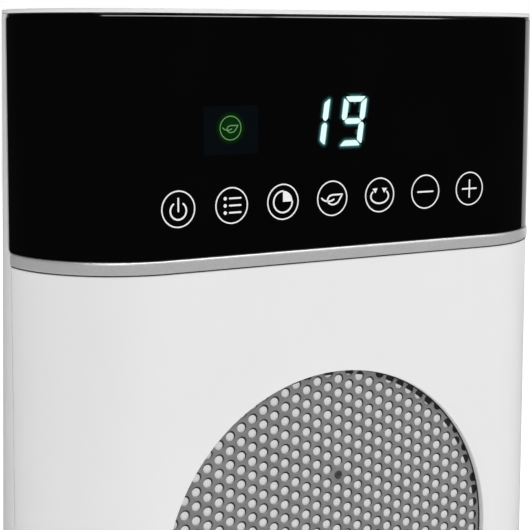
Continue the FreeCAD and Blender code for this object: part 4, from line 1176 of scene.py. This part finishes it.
def switch_marks():
    """I and O on the two halves of the rocker, moulded and filled white."""
    ink = printed("switch_ink", (0.7, 0.7, 0.7), 0.0)
    b = high("rocker")
    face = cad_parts["rocker"]
    centre_z = middle("switch_bezel").z
    for name, z, shape in (("on", 3.1, stroke([(0, -0.9), (0, 0), (0, 0.9)], 0.35)),
                           ("off", -3.1, stroke(arc(0, 0, 0.9, 0.9, 0, 350, 32), 0.35, closed=True))):
        at = Vector((0, b.y + 0.01, centre_z + z * MM))
        hit, place, normal, _ = face.ray_cast(at, Vector((0, -1, 0)))
        if not hit:
            continue
        up = Vector((0, 0, 1)) - normal * normal.z
        up.normalize()
        across = up.cross(normal).normalized()
        turn = Matrix((across, normal, up)).transposed().to_4x4()
        name = f"rocker_{name}_mark"
        mesh = raised(name, scaled([shape], MM), 0.03 * MM, Matrix.Translation(place) @ turn)
        put(new_object(name, mesh), ink, "rocker_key")


# ---- base
def base_dish():
    """The round base: upright side, rounded shoulder and flat top, hollow below."""
    radius = high("base_cover").x
    foot, top = low("base_cover").z, high("base_cover").z
    shoulder = 11.0 * MM
    side_top = 9.0 * MM
    drop = top - side_top
    curve = [math.pi / 2 * i / 14 for i in range(15)]
    profile = [(radius - 0.3 * MM, foot), (radius, foot + 0.3 * MM)]
    profile += [(radius - shoulder + shoulder * math.cos(t), side_top + drop * math.sin(t)) for t in curve]
    hole = 13.4 * MM
    wall = 2.4 * MM
    profile += [(r, top) for r in (60 * MM, 45 * MM, 28 * MM, hole + 0.3 * MM)]
    profile += [(hole, top - 0.3 * MM), (hole, top - wall)]
    inner = [(radius - shoulder + (shoulder - wall) * math.cos(t), side_top + (drop - wall) * math.sin(t))
             for t in reversed(curve)]
    profile += inner + [(radius - wall, foot)]
    thing = new_object("base_dish", lathe("base_dish", profile, segments=192))
    gland_low, gland_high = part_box("cord_gland")
    cut = rounded_box("cut", (gland_low.x - 0.2 * MM, gland_high.y - 1.1 * MM, gland_low.z - 0.3 * MM),
                      (gland_high.x + 0.2 * MM, radius + 0.01, gland_high.z + 0.3 * MM), 0.05 * MM, 1)
    carve(thing, cut)
    hole_cut = bar_along_y(4.7 * MM, 0.0, middle("cord_gland").z, radius - 0.008, radius + 0.01)
    carve(thing, new_mesh("cut", *hole_cut))
    put(soften(thing, angle=40), LOOKS["white_casing"], "base", "base_cover")


# ---- studio
def pale_floor():
    look = Look("floor")
    look.colour(look.noise(3.0, 4.0), (0.88, 0.88, 0.88), (0.92, 0.92, 0.92))
    look.rough(0.65, 0.8, 40.0)
    look.set("Emission Color", (1, 1, 1, 1))
    look.set("Emission Strength", 0.56)
    work = bmesh.new()
    bmesh.ops.create_grid(work, x_segments=8, y_segments=8, size=2.5)
    thing = new_object("floor", mesh_of("floor", work))
    thing.data.materials.append(look.material)
    thing.visible_glossy = False


def card(name, corners, strength):
    """A lit card that only shows as a reflection on polished edges."""
    look = Look(name)
    look.set("Base Color", (0, 0, 0, 1))
    look.glow(strength, look.noise(2.0), (0.95, 0.95, 0.95), (1.0, 1.0, 1.0))
    thing = new_object(name, new_mesh(name, corners, [(0, 1, 2, 3)]))
    thing.data.materials.append(look.material)
    thing.visible_camera = False
    thing.visible_diffuse = False
    thing.visible_shadow = False


def area_light(name, place, target, size, power):
    lamp = bpy.data.lights.new(name, "AREA")
    lamp.shape = "RECTANGLE"
    lamp.size, lamp.size_y = size
    lamp.energy = power
    thing = new_object(name, lamp)
    thing.location = place
    thing.rotation_euler = (Vector(target) - Vector(place)).to_track_quat("-Z", "Y").to_euler()


def world_light():
    """An even light that is faint in reflections and plain white to the camera."""
    world = bpy.data.worlds.new("studio")
    bpy.context.scene.world = world
    world.use_nodes = True
    tree = world.node_tree
    tree.nodes.clear()
    path = tree.nodes.new("ShaderNodeLightPath")
    total = None
    for ray, strength in ((None, 0.50), ("Is Glossy Ray", 0.012), ("Is Camera Ray", 1.0)):
        plain = tree.nodes.new("ShaderNodeBackground")
        plain.inputs["Color"].default_value = (1, 1, 1, 1)
        plain.inputs["Strength"].default_value = strength
        light = plain.outputs["Background"]
        if ray:
            mix = tree.nodes.new("ShaderNodeMixShader")
            tree.links.new(path.outputs[ray], mix.inputs["Fac"])
            tree.links.new(total, mix.inputs[1])
            tree.links.new(light, mix.inputs[2])
            light = mix.outputs["Shader"]
        total = light
    output = tree.nodes.new("ShaderNodeOutputWorld")
    tree.links.new(total, output.inputs["Surface"])


def studio():
    pale_floor()
    bpy.context.scene.view_settings.view_transform = "Standard"
    world_light()
    target = (0, 0, 0.14)
    area_light("key", (-0.75, -1.35, 1.35), target, (1.1, 0.9), 5.8)
    area_light("fill", (1.1, -1.0, 0.95), target, (0.9, 0.7), 2.3)
    area_light("overhead", (0.85, -0.36, 1.5), (0.1, -0.04, 0.25), (0.95, 0.2), 4.8)
    area_light("back", (0.4, 1.5, 1.0), target, (1.2, 0.8), 6.3)
    card("side_card", [(1.0, 1.35, -0.1), (2.0, 0.55, -0.1), (2.0, 0.55, 0.5), (1.0, 1.35, 0.5)], 0.8)
    card("upper_card", [(-0.6, -0.5, 1.5), (0.7, -0.5, 1.5), (0.7, -0.2, 1.5), (-0.6, -0.2, 1.5)], 8.0)


CAMERA_PLACE = (-0.21262, -0.38960, 0.25067)
CAMERA_YAW = 29.67  # degrees to the right of straight ahead
CAMERA_PITCH = -9.05  # degrees above the horizon
CAMERA_ROLL = 0.14
SENSOR_WIDTH = 36.0  # of the lens, in mm
FOCAL_LENGTH = 97.53


def camera():
    lens = bpy.data.cameras.new("camera")
    lens.sensor_width = SENSOR_WIDTH
    lens.lens = FOCAL_LENGTH
    lens.clip_start = 0.01
    thing = new_object("camera", lens)
    yaw, pitch = math.radians(CAMERA_YAW), math.radians(CAMERA_PITCH)
    ahead = Vector((math.sin(yaw) * math.cos(pitch), math.cos(yaw) * math.cos(pitch), math.sin(pitch)))
    turn = ahead.to_track_quat("-Z", "Y").to_matrix().to_4x4()
    roll = Matrix.Rotation(math.radians(CAMERA_ROLL), 4, "Z")
    thing.matrix_world = Matrix.Translation(CAMERA_PLACE) @ turn @ roll
    bpy.context.scene.camera = thing


dress_cad_nodes()
front_casing()
rear_casing()
top_cap()
control_panel()
trim_strip()
strip_shadow_line()
key_marks()
display_figures()
indicator()
perforated_sheet()
hole_shadow_mask()
outlet_shadow_rings()
sheet_rivet()
intake_louvre()
grip_recess()
switch_marks()
base_dish()
studio()
camera()
